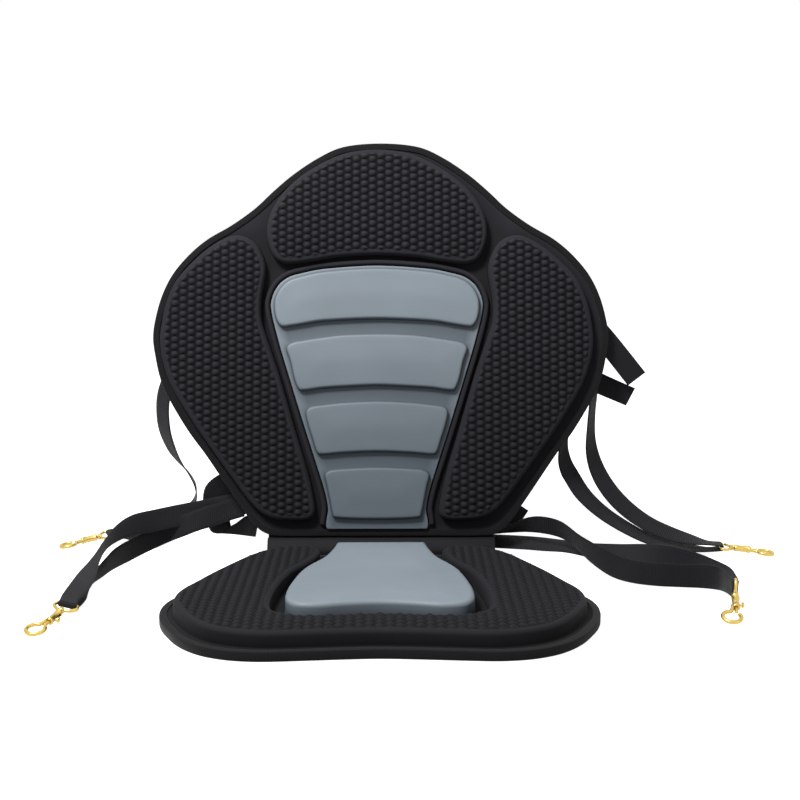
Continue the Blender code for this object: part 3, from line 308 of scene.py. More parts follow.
def dress(made, colour, height=None, strength=0.0, depth=0.0):
    """Gives the material its colour, and a bump whose depth is in millimetres."""
    tree = made.node_tree
    shader = tree.nodes["Principled BSDF"]
    tree.links.new(colour, shader.inputs["Base Color"])
    if height:
        bump = add_node(tree, "Bump", None, {
            "Height": height, "Strength": strength, "Distance": depth * MM})
        tree.links.new(bump.outputs["Normal"], shader.inputs["Normal"])
    return made


def direct_rays(tree):
    """Which rays see the backdrop: the camera's, and those with the glossy ones added."""
    path = add_node(tree, "LightPath").outputs
    return path["Is Camera Ray"], add_node(tree, "Math", {"operation": "MAXIMUM"}, {
        0: path["Is Camera Ray"], 1: path["Is Glossy Ray"]}).outputs["Value"]


def laminated_foam():
    """Knitted polyester laminated on EVA foam and heat moulded: dull black with a fine knit."""
    made, tree = new_material("laminated_foam", 0.78, 0, {
        "Sheen Weight": 0.03, "Sheen Roughness": 0.5, "Specular IOR Level": 0.12})
    place = object_place(tree)
    # The knit's loops are 0.6 mm apart, drawn at 1.1 mm so that they show.
    knit = add_node(tree, "TexVoronoi", None, {"Vector": place, "Scale": 1 / (1.1 * MM)})
    colour = tinted(tree, bpy.context.scene.kayak_seat_colours.black_foam,
                    noise(tree, place, 60, 3.0), 0.85, 1.2)
    # Painted shade: the foam turns near-black where its point attribute holds painted shade.
    return dress(made, mix_painted_shade(tree, colour, "#0B0B0D"), knit.outputs["Distance"],
                 0.25, 0.15)


def pressed_foam():
    """Closed-cell EVA pressed in a hot mould: smooth matt grey with a faint grain."""
    made, tree = new_material("pressed_foam", 0.52, 0, {"Specular IOR Level": 0.4})
    place = object_place(tree)
    colour = tinted(tree, bpy.context.scene.kayak_seat_colours.grey_foam,
                    noise(tree, place, 70), 0.9, 1.1)
    # Painted shade: the insert turns dark blue-grey where its point attribute holds painted shade.
    return dress(made, mix_painted_shade(tree, colour, "#2A3540"), noise(tree, place, 1.4, 4.0),
                 0.35, 0.12)


def woven(name, colour, rib, course, roughness, strength, sheen):
    """Woven yarn that follows the piece's UV map, whose units are metres of the real cloth."""
    made, tree = new_material(name, roughness, 0, {
        "Sheen Weight": sheen, "Sheen Roughness": 0.45, "Specular IOR Level": 0.15})
    place = add_node(tree, "UVMap").outputs["UV"]
    # Blender's wave texture repeats every 2 pi / 20 of its scaled space
    yarns = [add_node(tree, "TexWave", {"bands_direction": way}, {
        "Vector": place, "Scale": 2 * pi / apart / 20}).outputs["Fac"]
             for way, apart in (("X", rib), ("Y", course))]
    height = add_node(tree, "Math", {"operation": "MULTIPLY"}, {
        0: yarns[0], 1: yarns[1]}).outputs["Value"]
    return dress(made, tinted(tree, colour, height, 0.6, 1.6), height, strength, 0.3)


def backing_cloth():
    """Coated nylon cloth in a plain weave: black, with yarns 0.8 mm apart drawn at 1.6 mm."""
    made, tree = new_material("coated_nylon", 0.7, 0, {"Specular IOR Level": 0.15})
    place = object_place(tree)
    weave = add_node(tree, "TexChecker", None, {"Vector": place, "Scale": 1 / (1.6 * MM)})
    height = add_node(tree, "Math", {"operation": "ADD"}, {
        0: weave.outputs["Fac"], 1: noise(tree, place, 0.9)}).outputs["Value"]
    return dress(made, tinted(tree, linear("#19191B"), height, 0.7, 1.4, 2.0), height, 0.4, 0.15)


def cast_brass():
    """Die-cast brass, tumbled bright and lacquered: warm gold with soft waviness from casting."""
    made, tree = new_material("cast_brass", 0.24, 1.0)
    cast = noise(tree, object_place(tree), 5, 3.0)
    tree.links.new(between(tree, cast, 0.16, 0.34),
                   tree.nodes["Principled BSDF"].inputs["Roughness"])
    colour = tinted(tree, bpy.context.scene.kayak_seat_colours.brass, cast, 0.85, 1.1)
    return dress(made, colour, cast, 0.15, 0.2)


def moulded_plastic(name, code, roughness):
    """Injection-moulded acetal: black with the fine spark grain of its mould."""
    made, tree = new_material(name, roughness)
    grain = noise(tree, object_place(tree), 0.7)
    return dress(made, tinted(tree, linear(code), grain, 0.9, 1.1), grain, 0.2, 0.05)


def spring_wire():
    """Drawn spring steel: bright grey with faint draw marks."""
    made, tree = new_material("spring_wire", 0.3, 1.0)
    marks = noise(tree, object_place(tree), 0.5)
    return dress(made, tinted(tree, linear("#B4B4B8"), marks, 0.8, 1.1))


def catmull_rom(a, b, c, d, t):
    return 0.5 * (2 * b + (c - a) * t + (2 * a - 5 * b + 4 * c - d) * t * t
                  + (3 * b - a - 3 * c + d) * t * t * t)


def smooth_line(points, steps, closed=False):
    """A smooth line through the points, as an array."""
    points = np.array(points, float)
    count = len(points)
    line = []
    for i in range(count if closed else count - 1):
        around = [i + k for k in (-1, 0, 1, 2)]
        around = [k % count if closed else min(max(k, 0), count - 1) for k in around]
        line += [catmull_rom(*points[around], s / steps) for s in range(steps)]
    return np.array(line if closed else line + [points[-1]])


def distances(line):
    """How far along the closed line each point lies, with the whole length last."""
    closed = np.vstack([line, line[:1]])
    return np.concatenate([[0], np.cumsum(norm(np.diff(closed, axis=0), axis=1))])


def outline(points, steps=8, mirrored=True, side=1, shift=0.0):
    """A closed smooth outline in metres, counter-clockwise, from a half or a whole one."""
    points = [(side * x * MM, y * MM) for x, y in points]
    if mirrored:
        points += [(-x, y) for x, y in reversed(points[1:-1])]
    line = smooth_line(points, steps, True)
    after = np.roll(line, -1, 0)
    if (line[:, 0] * after[:, 1] - after[:, 0] * line[:, 1]).sum() < 0:
        line = np.roll(line[::-1], 1, 0)
    return evenly(line, round(distances(line)[-1] / (2.5 * MM))) + np.array([shift, 0])


def evenly(line, count):
    """The closed line with this many points at even distances, from its first point."""
    run = distances(line)
    at = np.arange(count) / count * run[-1]
    return np.stack([np.interp(at, run, np.append(part, part[0])) for part in line.T], 1)


def inward(line):
    """The way in from each point of a closed outline."""
    ahead = np.roll(line, -1, 0) - np.roll(line, 1, 0)
    ahead /= norm(ahead, axis=1)[:, None]
    return np.stack([-ahead[:, 1], ahead[:, 0]], 1)


def inset(line, amount):
    """The outline moved inwards by the amount, or outwards if it is negative."""
    steps = max(1, ceil(abs(amount) / (0.5 * MM)))
    for _ in range(steps):
        line = evenly(line + inward(line) * amount / steps, len(line))
    return line


def collar_line(shape):
    """The outline of the foam rim that runs round three sides of an insert, open at its foot."""
    foot = 9 * MM
    sides = []
    for amount in (-7 * MM, -1.4 * MM):
        line = inset(shape, amount)
        middle = line[:, 0].mean()
        start = int(np.argmin(np.hypot(line[:, 0] - middle, line[:, 1])))
        line = np.roll(line, -start, 0)
        sides.append(line[line[:, 1] > foot])
    line = np.vstack([sides[0], sides[1][::-1]])
    return evenly(line, round(distances(line)[-1] / (2 * MM)))


def edge_distance(points, line):
    """How far each point lies inside the outline; negative outside it."""
    nearest = np.full(len(points), 1e9)
    odd = np.zeros(len(points), bool)
    for a, b in zip(line, np.roll(line, -1, 0)):
        way = b - a
        share = np.clip(((points - a) @ way) / (way @ way), 0, 1)
        gap = points - a - share[:, None] * way
        nearest = np.minimum(nearest, (gap ** 2).sum(1))
        if a[1] != b[1]:
            crosses = (a[1] > points[:, 1]) != (b[1] > points[:, 1])
            odd ^= crosses & (points[:, 0] < way[0] * (points[:, 1] - a[1]) / way[1] + a[0])
    return np.sqrt(nearest) * np.where(odd, 1, -1)


def smoothstep(value):
    value = np.clip(value, 0, 1)
    return value * value * (3 - 2 * value)


class Moulding:
    """Collects the points and faces of one moulded piece, then makes its mesh."""

    def __init__(self):
        self.points, self.faces = [], []

    def slab(self, edge, low, high, painted_shade=0.0):
        """The wall between two levels; gives its rings."""
        bottom, top = self.ring(edge, low, painted_shade), self.ring(edge, high, painted_shade)
        self.wall(bottom, top)
        return bottom, top

    def ring(self, line, level, painted_shade=0.0):
        first = len(self.points)
        self.points += [(x, y, level, painted_shade) for x, y in line]
        return list(range(first, first + len(line)))

    def wall(self, low, high):
        for i, here in enumerate(low):
            after = (i + 1) % len(low)
            self.faces.append((here, low[after], high[after], high[i]))

    def fill(self, outer, holes=(), inner=()):
        """Triangles between a ring and the holes in it, through the inner points."""
        used, edges = [], []
        for loop in (outer, *holes):
            first, count = len(used), len(loop)
            edges += [(first + i, first + (i + 1) % count) for i in range(count)]
            used += loop
        used += range(len(self.points), len(self.points) + len(inner))
        self.points += [tuple(point) for point in inner]
        flat = [Vector(self.points[i][:2]) for i in used]
        _, _, triangles, came_from, _, _ = delaunay_2d_cdt(flat, edges, [], 0, 1e-9)
        index = [used[source[0]] for source in came_from]
        corners = np.array([[index[i] for i in triangle] for triangle in triangles])
        places = np.array(self.points, float)[:, :2]
        middles = places[corners].mean(1)
        keep = edge_distance(middles, places[outer]) > 0
        for hole in holes:
            keep &= edge_distance(middles, places[hole]) < 0
        self.faces += corners[keep].tolist()

    def island(self, line, level, rise, fillet, shoulder, crown=0.0, bumps=False):
        """Raises a pad with a concave fillet at its foot, a round shoulder and a swollen top."""
        way = 1 if rise > 0 else -1
        height = abs(rise)
        # Painted shade: 0.6 on the ring outside the foot, full on the fillet, fading out up the
        # shoulder.
        base = before = self.ring(inset(line, -fillet), level, 0.6)
        rings = [(-fillet * (1 - sin(turn)), fillet * (1 - cos(turn)), 1.0)
                 for turn in (pi / 2 * i / 3 for i in (1, 2, 3))]
        for turn in (pi / 2 * i / 6 for i in range(7)):
            lift = height - shoulder * (1 - sin(turn))
            if lift > fillet + 1e-6:
                rings.append((shoulder * (1 - cos(turn)), lift, 0.9 * (1 - lift / height) ** 0.7))
        for amount, lift, painted_shade in rings:
            edge = inset(line, amount)
            after = self.ring(edge, level + way * lift, painted_shade)
            self.wall(before, after)
            before = after
        self.fill(before, inner=pad_points(edge, level + rise, way * crown, bumps))
        return base

    def paint_shade_by_height(self, most, least, bright, dark):
        """Adds painted shade to the tone, by least at the bright height up the face to most at the
        dark one.
        """
        for i, (x, y, z, painted_shade) in enumerate(self.points):
            share = least + (most - least) * float(smoothstep((bright - y) / (bright - dark)))
            self.points[i] = (x, y, z, painted_shade + (1 - painted_shade) * share)

    def finish(self, name, material, body, node):
        """Makes the piece in its body's own place."""
        corners = [i for face in self.faces for i in face]
        place = BACK if body == "backrest" else None
        made = new_piece(name, [point[:3] for point in self.points], self.faces, place,
                         [self.points[i][:2] for i in corners])
        # Each point's painted shade goes into a point attribute, which the foam materials mix in.
        painted_shade = made.data.attributes.new("painted_shade", "FLOAT", "POINT")
        painted_shade.data.foreach_set("value", [point[3] for point in self.points])
        smooth_shading(made)
        finish_piece(made, material, body, node)


def pad_points(edge, level, crown, bumps):
    """Points over a pad's top, with the foam's swell and its rows of bumps."""
    sizes = bpy.context.scene.kayak_seat_sizes
    column, row = sizes.column_pitch, sizes.row_pitch
    steps = (column / 8, row / 8) if bumps else (4 * MM, 4 * MM)
    rows = [np.arange(ceil(low / step), floor(high / step) + 1) * step
            for low, high, step in zip(edge.min(0), edge.max(0), steps)]
    grid = np.stack(np.meshgrid(*rows), -1).reshape(-1, 2)
    depth = edge_distance(grid, edge)
    keep = depth > min(steps) * 0.6
    grid, depth = grid[keep], depth[keep]
    height = level + crown * smoothstep(depth / (28 * MM))
    painted_shade = np.zeros(len(grid))
    if bumps:
        share = smoothstep((depth - sizes.bump_border) / (2.5 * MM))
        round_bumps = bump_heights(grid, column, row)
        height = height + round_bumps * share * sizes.bump_height
        # Painted shade between the bumps, none on their upper parts, fading out towards the smooth
        # border.
        painted_shade = share * np.clip(1 - 1.6 * round_bumps, 0, 1)
    return np.column_stack([grid, height, painted_shade])


def bump_heights(grid, column, row):
    """Height from 0 to 1 of staggered round bumps at each point."""
    height = np.zeros(len(grid))
    for shift in (0, 1):
        x = grid[:, 0] / column - shift
        y = grid[:, 1] / row - shift * 0.5
        x = (x - 2 * np.round(x / 2)) * column * 0.95
        y = (y - np.round(y)) * row
        share = np.clip(np.hypot(x, y) / (row * 0.5), 0, 1)
        height = np.maximum(height, np.cos(share * pi / 2) ** 0.8)
    return height


def select_only(obj):
    bpy.ops.object.select_all(action="DESELECT")
    obj.select_set(True)
    bpy.context.view_layer.objects.active = obj


def new_piece(name, points, faces, place, uvs=None):
    """A piece with its faces turned outwards, and a UV map if each corner's is given."""
    mesh = bpy.data.meshes.new(name)
    mesh.from_pydata(points, [], faces)
    made = bpy.data.objects.new(name, mesh)
    bpy.context.scene.collection.objects.link(made)
    if uvs is not None:
        mesh.uv_layers.new(name="UVMap").data.foreach_set("uv", np.array(uvs, float).ravel())
    select_only(made)
    bpy.ops.object.mode_set(mode="EDIT")
    bpy.ops.mesh.select_all(action="SELECT")
    bpy.ops.mesh.normals_make_consistent(inside=False)
    bpy.ops.object.mode_set(mode="OBJECT")
    if place:
        mesh.transform(place)
    return made


def smooth_shading(obj, degrees=40):
    select_only(obj)
    bpy.ops.object.shade_smooth_by_angle(angle=radians(degrees))


def finish_piece(obj, material, body, node):
    """Gives a piece its material, its body and the CAD node it stands for."""
    obj.data.materials.clear()
    obj.data.materials.append(material)
    if body:
        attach(obj, body)
    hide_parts(node)


def sweep(name, centres, across, section, closed=False, shares=None, place=None):
    """Cloth with this section carried along a line; its UV map is in metres of cloth."""
    count = len(centres)
    across = np.broadcast_to(np.array(across, float), centres.shape)
    shares = np.ones(count) if shares is None else shares
    ahead = np.gradient(centres, axis=0)
    if closed:
        ahead = np.roll(centres, -1, 0) - np.roll(centres, 1, 0)
    up = np.cross(ahead, across)
    up /= norm(up, axis=1)[:, None]
    wide, high = section[:, 0], section[:, 1]
    points = (centres[:, None] + across[:, None] * (wide[None, :, None] * shares[:, None, None])
              + up[:, None] * high[None, :, None])
    around = len(section)
    run, girth = distances(centres), distances(section)
    faces, uvs = [], []
    for i in range(count if closed else count - 1):
        j = (i + 1) % count
        for k in range(around):
            m = (k + 1) % around
            faces.append((i * around + k, i * around + m, j * around + m, j * around + k))
            uvs += [(run[i], girth[k]), (run[i], girth[k + 1]),
                    (run[i + 1], girth[k + 1]), (run[i + 1], girth[k])]
    if not closed:
        last = (count - 1) * around
        faces.append(tuple(range(around))[::-1])
        faces.append(tuple(last + k for k in range(around)))
        uvs += [(0, girth[k]) for k in range(around)][::-1]
        uvs += [(run[-2], girth[k]) for k in range(around)]
    made = new_piece(name, points.reshape(-1, 3).tolist(), faces, place, uvs)
    smooth_shading(made)
    return made


def webbing_section(width, thick):
    """Webbing's section with its rounded selvedges and a slight dip along the middle."""
    half, rim = width / 2, thick / 2
    side = [(half - rim + rim * cos(t), rim * sin(t)) for t in np.linspace(-pi / 2, pi / 2, 5)]
    side += [(x * half, rim * 0.92) for x in (0.6, 0.2, -0.2, -0.6)]
    return np.array(side + [(-x, -y) for x, y in side])


def strap_mesh(name, stations, steps=5, place=None):
    """Webbing along its stations; gives the piece and the line that it follows."""
    sizes = bpy.context.scene.kayak_seat_sizes
    centres = smooth_line([row[:3] for row in stations], steps) * MM
    ways = [np.array(row[3:6], float) / norm(row[3:6]) for row in stations]
    across = smooth_line(ways, steps)
    shares = smooth_line([row[6:] or (1,) for row in stations], steps)[:, 0]
    across /= norm(across, axis=1)[:, None]
    section = webbing_section(sizes.webbing, sizes.webbing_thick)
    return sweep(name, centres, across, section, shares=shares, place=place), centres


def band_stations(height, inner):
    """Stations of a band across the back, each end turned back round its buckle's bar."""
    level, bar = -25.6, inner + 2
    turned = []
    for i in range(9):
        angle = pi / 2 - pi * i / 8
        square = [copysign(abs(part) ** 0.7, part) for part in (cos(angle), sin(angle))]
        turned.append((bar + 3.05 * square[0], level + 2.85 * square[1]))
    turned += [(inner - 2, level - 2.85), (inner - 9, level), (inner - 18, -24.55),
               (inner - 30, -24.55)]
    path = [(-x, z) for x, z in reversed(turned)] + turned
    return [(x, height, z, 0, 1, 0) for x, z in path]


def hinge_line():
    """The hinge cloth's way from the seat's rear edge under the backrest and up behind it."""
    rises = [(0, y * MM, z * MM) for y, z in ((153.25, 2.2), (153.25, 9), (154.45, 15))]
    rises += [tuple(BACK @ Vector((0, y * MM, z * MM))) for y, z in (
        (-5.05, -8.1), (-3.45, -15.4), (-2.85, -20.35), (3, -20.75), (13, -20.75))]
    return smooth_line(rises, 3)


def line_length(line):
    return float(norm(np.diff(line, axis=0), axis=1).sum())


def snap_frames(side):
    """Frames at a snap's webbing bar, +X to its tip: +Y along the bar, or at the thumb knob."""
    at, ahead, bar, thumb = SNAPS[side]
    forward = Vector(ahead).normalized()
    frames = []
    for way in (bar, thumb):
        sideways = (Vector(way) - forward * Vector(way).dot(forward)).normalized()
        turn = Matrix((forward, sideways, forward.cross(sideways))).transposed().to_4x4()
        frames.append(Matrix.Translation(Vector(at) * MM) @ turn)
    return frames


def lathe(name, profile, place, sides=28):
    """A turned piece: pairs of distance along +X and radius in millimetres, axis to axis."""
    points, faces, rings = [], [], []
    for x, radius in profile:
        first = len(points)
        turns = np.arange(sides if radius else 1) / sides * 2 * pi
        points += [(x * MM, radius * MM * cos(a), radius * MM * sin(a)) for a in turns]
        rings.append([first + i % len(turns) for i in range(sides + 1)])
    for low, high in zip(rings, rings[1:]):
        for i in range(sides):
            faces.append(tuple(dict.fromkeys((low[i], low[i + 1], high[i + 1], high[i]))))
    return new_piece(name, points, faces, place)


def disc(radius, sides):
    """The round section of a wire, in metres from a radius in millimetres."""
    turns = np.arange(sides) / sides * 2 * pi
    return np.column_stack([np.cos(turns), np.sin(turns)]) * radius * MM


def rod(name, points, radius, place, closed=False):
    """Round wire bent along flat points in millimetres."""
    centres = smooth_line([(x, y, 0) for x, y in points], 3, closed) * MM
    return sweep(name, centres, (0, 0, 1), disc(radius, 14), closed, place=place)


def combine(target, tool, operation):
    """Joins or cuts the target with the tool, which goes."""
    select_only(target)
    modifier = target.modifiers.new("combine", "BOOLEAN")
    modifier.operation = operation
    modifier.solver = "EXACT"
    modifier.object = tool
    bpy.ops.object.modifier_apply(modifier=modifier.name)
    bpy.data.objects.remove(tool, do_unlink=True)


def snap_eye(side, place):
    """The swivel eye: a bent loop for the webbing with its collar for the swivel pin."""
    half = [(0, 9), (0.8, 10.9), (2.7, 11.75), (5.5, 11.75), (8.8, 8.5), (11, 4.2)]
    eye = rod(f"{side}_brass_eye", half + [(x, -y) for x, y in reversed(half)], 1.65, place, True)
    collar = lathe("collar", [(9.8, 0), (9.8, 2.6), (10.3, 3.4), (13.4, 3.4), (14.1, 2.9),
                              (14.1, 1.8), (12.2, 1.8), (12.2, 0)], place)
    combine(eye, collar, "UNION")
    return eye


def snap_hook(side, place):
    """The hook: a turned barrel, bored out, with a bead at each end, and an open ring of rod."""
    body = lathe(f"{side}_brass_hook", [
        (12.5, 0), (12.5, 1.5), (15, 1.5), (15, 3), (15.5, 3.8), (16.6, 4.2), (17.6, 3.8),
        (18.4, 3.6), (30.6, 3.6), (31.4, 4.1), (32.6, 4.1), (33.5, 3.5), (33.5, 2.1), (17, 2.1),
        (17, 0)], place)
    ring = [(29.5, -2.8), (34.5, -3.6)]
    for degrees in range(186, 500, 20):
        angle = radians(degrees)
        ring.append((49 + 8.8 * cos(angle), -4.5 + 8.8 * sin(angle)))
    combine(body, rod("ring", ring, 2.05, place), "UNION")
    bore = lathe("bore", [(17.1, 0), (17.1, 2.12), (37, 2.12), (37, 0)], place)
    combine(body, bore, "DIFFERENCE")
    bpy.ops.object.select_all(action="DESELECT")
    bpy.ops.mesh.primitive_cube_add(size=1 * MM)
    slot = bpy.context.object
    slot.data.transform(place @ Matrix.Translation((23.8 * MM, 3.5 * MM, 0))
                        @ Matrix.Diagonal((10.9, 6, 2.9, 1)))
    combine(body, slot, "DIFFERENCE")
    return body


def snap_bolt(side, place):
    """The sprung bolt, which closes the ring, and the domed thumb knob on its stem."""
    bolt = lathe(f"{side}_brass_bolt", [(26, 0), (26, 1.5), (26.4, 1.8), (40.4, 1.8),
                                        (41.1, 1.2), (41.24, 0)], place)
    sideways = place @ Matrix.Translation((27.8 * MM, 0, 0)) @ Matrix.Rotation(pi / 2, 4, "Z")
    knob = lathe("knob", [(0.4, 0), (0.4, 1.1), (5.4, 1.1), (5.7, 2.5), (6.2, 2.9), (7.2, 2.7),
                          (7.8, 1.7), (8, 0)], sideways)
    combine(bolt, knob, "UNION")
    return bolt


def snap_spring(side, place, start, end):
    """The coil that pushes the bolt, in millimetres from start to end along the barrel."""
    along = np.linspace(0, 1, 57)
    turns = along * 4 * 2 * pi
    centres = np.column_stack([start + (end - start) * along, 1.35 * np.cos(turns),
                               1.35 * np.sin(turns)]) * MM
    return sweep(f"{side}_coil_spring", centres, (1, 0, 0), disc(0.25, 8), place=place)


def turn_round(side, before, after):
    """Stations of the webbing's turn round the snap's bar, between two stations of its legs."""
    eye, _ = snap_frames(side)
    axis, bar = eye.col[1].to_3d(), eye.translation / MM
    start, end = Vector(before[:3]), Vector(after[:3])
    ahead = bar - (start + end) / 2
    ahead = (ahead - axis * ahead.dot(axis)).normalized()
    aside = axis.cross(ahead)
    if aside.dot(start - end) < 0:
        aside.negate()
    radius = 2.6
    turns = [pi * i / 6 for i in range(7)]
    return [(*(bar + (aside * cos(turn) + ahead * sin(turn)) * radius), *axis,
             *before[6:]) for turn in turns]


def make_seat_pad(context):
    crown = context.scene.kayak_seat_sizes.crown
    edge = outline(SEAT_EDGE, 6)
    foam = Moulding()
    # The seat's outer wall gets painted shade at half strength.
    bottom, top = foam.slab(edge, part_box("seat_top_panel")[0].z, SEAT_FACE, 0.5)
    foam.fill(bottom)
    pad = foam.island(outline(SEAT_PAD, 6), SEAT_FACE, 15.2 * MM, 1.4 * MM, 4.5 * MM, crown, True)
    foam.fill(top, [pad])
    # Painted shade over the whole seat pad, darkening its top, which the lamps light more than the
    # backrest.
    foam.paint_shade_by_height(0.54, 0.54, 1, 0)
    foam.finish("seat_foam_pad", laminated_foam(), "seat", "seat_top_panel")

    insert = Moulding()
    shape = outline(SEAT_INSERT, 8)
    shape[:, 1] = np.minimum(shape[:, 1], 144.7 * MM)
    low = SEAT_FACE + GLUE
    base = insert.ring(shape, low)
    insert.fill(base)
    rim = insert.island(inset(shape, 0.8 * MM), low, 18.5 * MM, 0.6 * MM, 5 * MM, 1.2 * MM)
    insert.wall(base, rim)
    insert.finish("seat_grey_pad", pressed_foam(), "seat", "seat_grey_insert")

    cover = Moulding()
    bottom, top = cover.slab(edge, SEAT_BASE, 3.2 * MM)
    cover.fill(top)
    field = cover.island(inset(edge, 15 * MM), SEAT_BASE, -SEAT_BASE, 0.3 * MM, 0.6 * MM)
    cover.fill(bottom, [field])
    cover.finish("seat_underside_cloth", backing_cloth(), "seat", "seat_bottom_cover")


class KAYAKSEAT_OT_seat_pad(bpy.types.Operator):
    """Model the seat pad: bumped foam, its grey insert and the cloth beneath"""

    bl_idname = "kayak_seat.seat_pad"
    bl_label = "Seat Pad"

    def execute(self, context):
        make_seat_pad(context)
        return {"FINISHED"}


def make_backrest(context):
    crown = context.scene.kayak_seat_sizes.crown
    edge = outline(BACK_EDGE, 6)
    foam = Moulding()
    bottom, top = foam.slab(edge, -16.2 * MM, BACK_FACE)
    foam.fill(bottom)
    shapes = [outline(TOP_PAD, 6, shift=FACE_SHIFT)]
    shapes += [outline(SIDE_PAD, 6, False, side, FACE_SHIFT) for side in (-1, 1)]
    pads = [foam.island(shape, BACK_FACE, 11.6 * MM, 1.4 * MM, 4 * MM, crown, True)
            for shape in shapes]
    collar = foam.island(collar_line(outline(BACK_INSERT, 8, shift=FACE_SHIFT)), BACK_FACE,
                         5 * MM, 0.5 * MM, 2.2 * MM)
    foam.fill(top, [*pads, collar])
    # Painted shade down the backrest's foam: none from 420 mm up, growing to 0.4 at its foot, for
    # light falling off downwards.
    foam.paint_shade_by_height(0.4, 0.0, 420 * MM, 20 * MM)
    foam.finish("backrest_foam_pads", laminated_foam(), "backrest", "backrest_front_panel")

    insert = Moulding()
    shape = outline(BACK_INSERT, 8, shift=FACE_SHIFT)
    shape[:, 1] = np.maximum(shape[:, 1], 6.3 * MM)
    low = BACK_FACE + GLUE
    high = low + 4 * MM
    before = insert.ring(shape, low)
    insert.fill(before)
    for i in range(5):
        turn = pi / 2 * i / 4
        after = insert.ring(inset(shape, 1.0 * MM * (1 - cos(turn))),
                            high - 1.0 * MM * (1 - sin(turn)))
        insert.wall(before, after)
        before = after
    ribs = [insert.island(inset(outline(rib, shift=FACE_SHIFT), 1.2 * MM), high, 6.2 * MM,
                          0.8 * MM, 3.2 * MM, 0.8 * MM) for rib in RIBS]
    insert.fill(before, ribs)
    # Painted shade down the ribbed insert: none from 290 mm up, growing to 0.62 at its foot, for
    # light falling off downwards.
    insert.paint_shade_by_height(0.62, 0.0, 290 * MM, 20 * MM)
    insert.finish("backrest_ribbed_pad", pressed_foam(), "backrest", "backrest_grey_insert")

    cover = Moulding()
    high = -16.5 * MM
    bottom, top = cover.slab(edge, BACK_REAR, high)
    board = cover.ring(inset(edge, 26 * MM), high)
    bed = cover.ring(inset(edge, 26 * MM), high - 2.3 * MM)
    cover.wall(board, bed)
    cover.fill(bed)
    cover.fill(top, [board])
    field = cover.island(inset(edge, 15 * MM), BACK_REAR, -3.2 * MM, 0.6 * MM, 2.4 * MM)
    cover.fill(bottom, [field])
    cover.finish("backrest_rear_cloth", backing_cloth(), "backrest", "backrest_rear_cover")


class KAYAKSEAT_OT_backrest(bpy.types.Operator):
    """Model the backrest: three bumped pads, the ribbed grey insert and the cloth behind"""

    bl_idname = "kayak_seat.backrest"
    bl_label = "Backrest"

    def execute(self, context):
        make_backrest(context)
        return {"FINISHED"}


def make_bindings(context):
    sizes = context.scene.kayak_seat_sizes
    colours = context.scene.kayak_seat_colours
    # Polyester twill tape: close diagonal ribs, drawn as short courses along its length
    tape = woven("polyester_tape", colours.tape, 1.6 * MM, 1.2 * MM, 0.8, 0.4, 0.15)
    for name, half, low, high, body, place in (
            ("seat_edge_tape", SEAT_EDGE, SEAT_BASE, SEAT_FACE, "seat", None),
            ("backrest_edge_tape", BACK_EDGE, BACK_REAR, BACK_FACE, "backrest", BACK)):
        line = outline(half, 6)
        centres, across = [np.insert(part, 2, 0, 1) for part in (line, inward(line))]
        gap, leaf, thick = 0.3 * MM, sizes.tape_leaf, sizes.tape
        bottom, top = low - gap, high + gap
        side, under, over = -gap - thick, bottom - thick, top + thick
        corner, cut = 1.1 * MM, 0.33 * MM
        section = np.array([
            (leaf, under), (side + corner, under), (side + cut, under + cut),
            (side, under + corner), (side, over - corner), (side + cut, over - cut),
            (side + corner, over), (leaf - 0.3 * MM, over), (leaf, top + thick * 0.7),
            (leaf, top), (-gap, top), (-gap, bottom), (leaf, bottom)])
        piece = sweep(name, centres, across, section, True, place=place)
        finish_piece(piece, tape, body, name.replace("_tape", "_binding"))

    centres = hinge_line()
    strip = sweep("hinge_cloth", centres, (1, 0, 0), webbing_section(sizes.hinge_cloth, 1 * MM))
    finish_piece(strip, backing_cloth(), None, "fabric_hinge_strip")
    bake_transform(strip)
    line_length(centres)


class KAYAKSEAT_OT_bindings(bpy.types.Operator):
    """Sew the binding tape round both edges and hang the hinge strip between them"""

    bl_idname = "kayak_seat.bindings"
    bl_label = "Bindings"

    def execute(self, context):
        make_bindings(context)
        return {"FINISHED"}


def make_straps(context):
    wide, colour = context.scene.kayak_seat_sizes.webbing, context.scene.kayak_seat_colours.webbing
    # Polypropylene webbing: crosswise ribs 2.4 mm apart, with finer lengthwise yarns
    webbing = woven("polypropylene_webbing", colour, 2.4 * MM, 1.4 * MM, 0.62, 0.7, 0.1)
    for side, start, end, far in (
            ("rear_right", (0.24, 0.226, 0.14), (0.33, 0.19, 0.02), "object"),
            ("front_right", (0.13, 0.19, 0.03), (0.23, 0.12, 0.02), "bare"),
            ("front_left", (-0.17, 0.195, 0.05), (-0.28, 0.13, 0.03), "object"),
            ("rear_left", (-0.24, 0.226, 0.14), (-0.27, 0.225, 0.03), "bare")):
        out, back = ROUTES[side]
        turn = turn_round(side, out[-1], back[0])
        piece, line = strap_mesh(f"{side}_webbing", out + turn + back)
        finish_piece(piece, webbing, None, f"{side}_strap")
        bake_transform(piece)
        line_length(line)
    for name, stations, place, node in (
            ("upper_right_loose_end", UPPER_TAIL, BACK, "upper_right_strap_tail"),
            ("lower_right_loose_end", LOWER_TAIL, BACK, "lower_right_strap_tail"),
            ("right_anchor_webbing", ANCHOR_TAB, BACK, "right_anchor_tab"),
            ("left_folded_webbing", FOLDED_END, None, "left_folded_strap_end")):
        piece, line = strap_mesh(name, stations, 5, place)
        finish_piece(piece, webbing, "backrest", node)
        line_length(line)
    for name, height, inner in (("upper", 176, 206.4), ("lower", 36, 117.7)):
        piece, line = strap_mesh(f"{name}_back_band", band_stations(height, inner), 1, BACK)
        finish_piece(piece, webbing, "backrest", f"{name}_webbing_band")
        line_length(line)


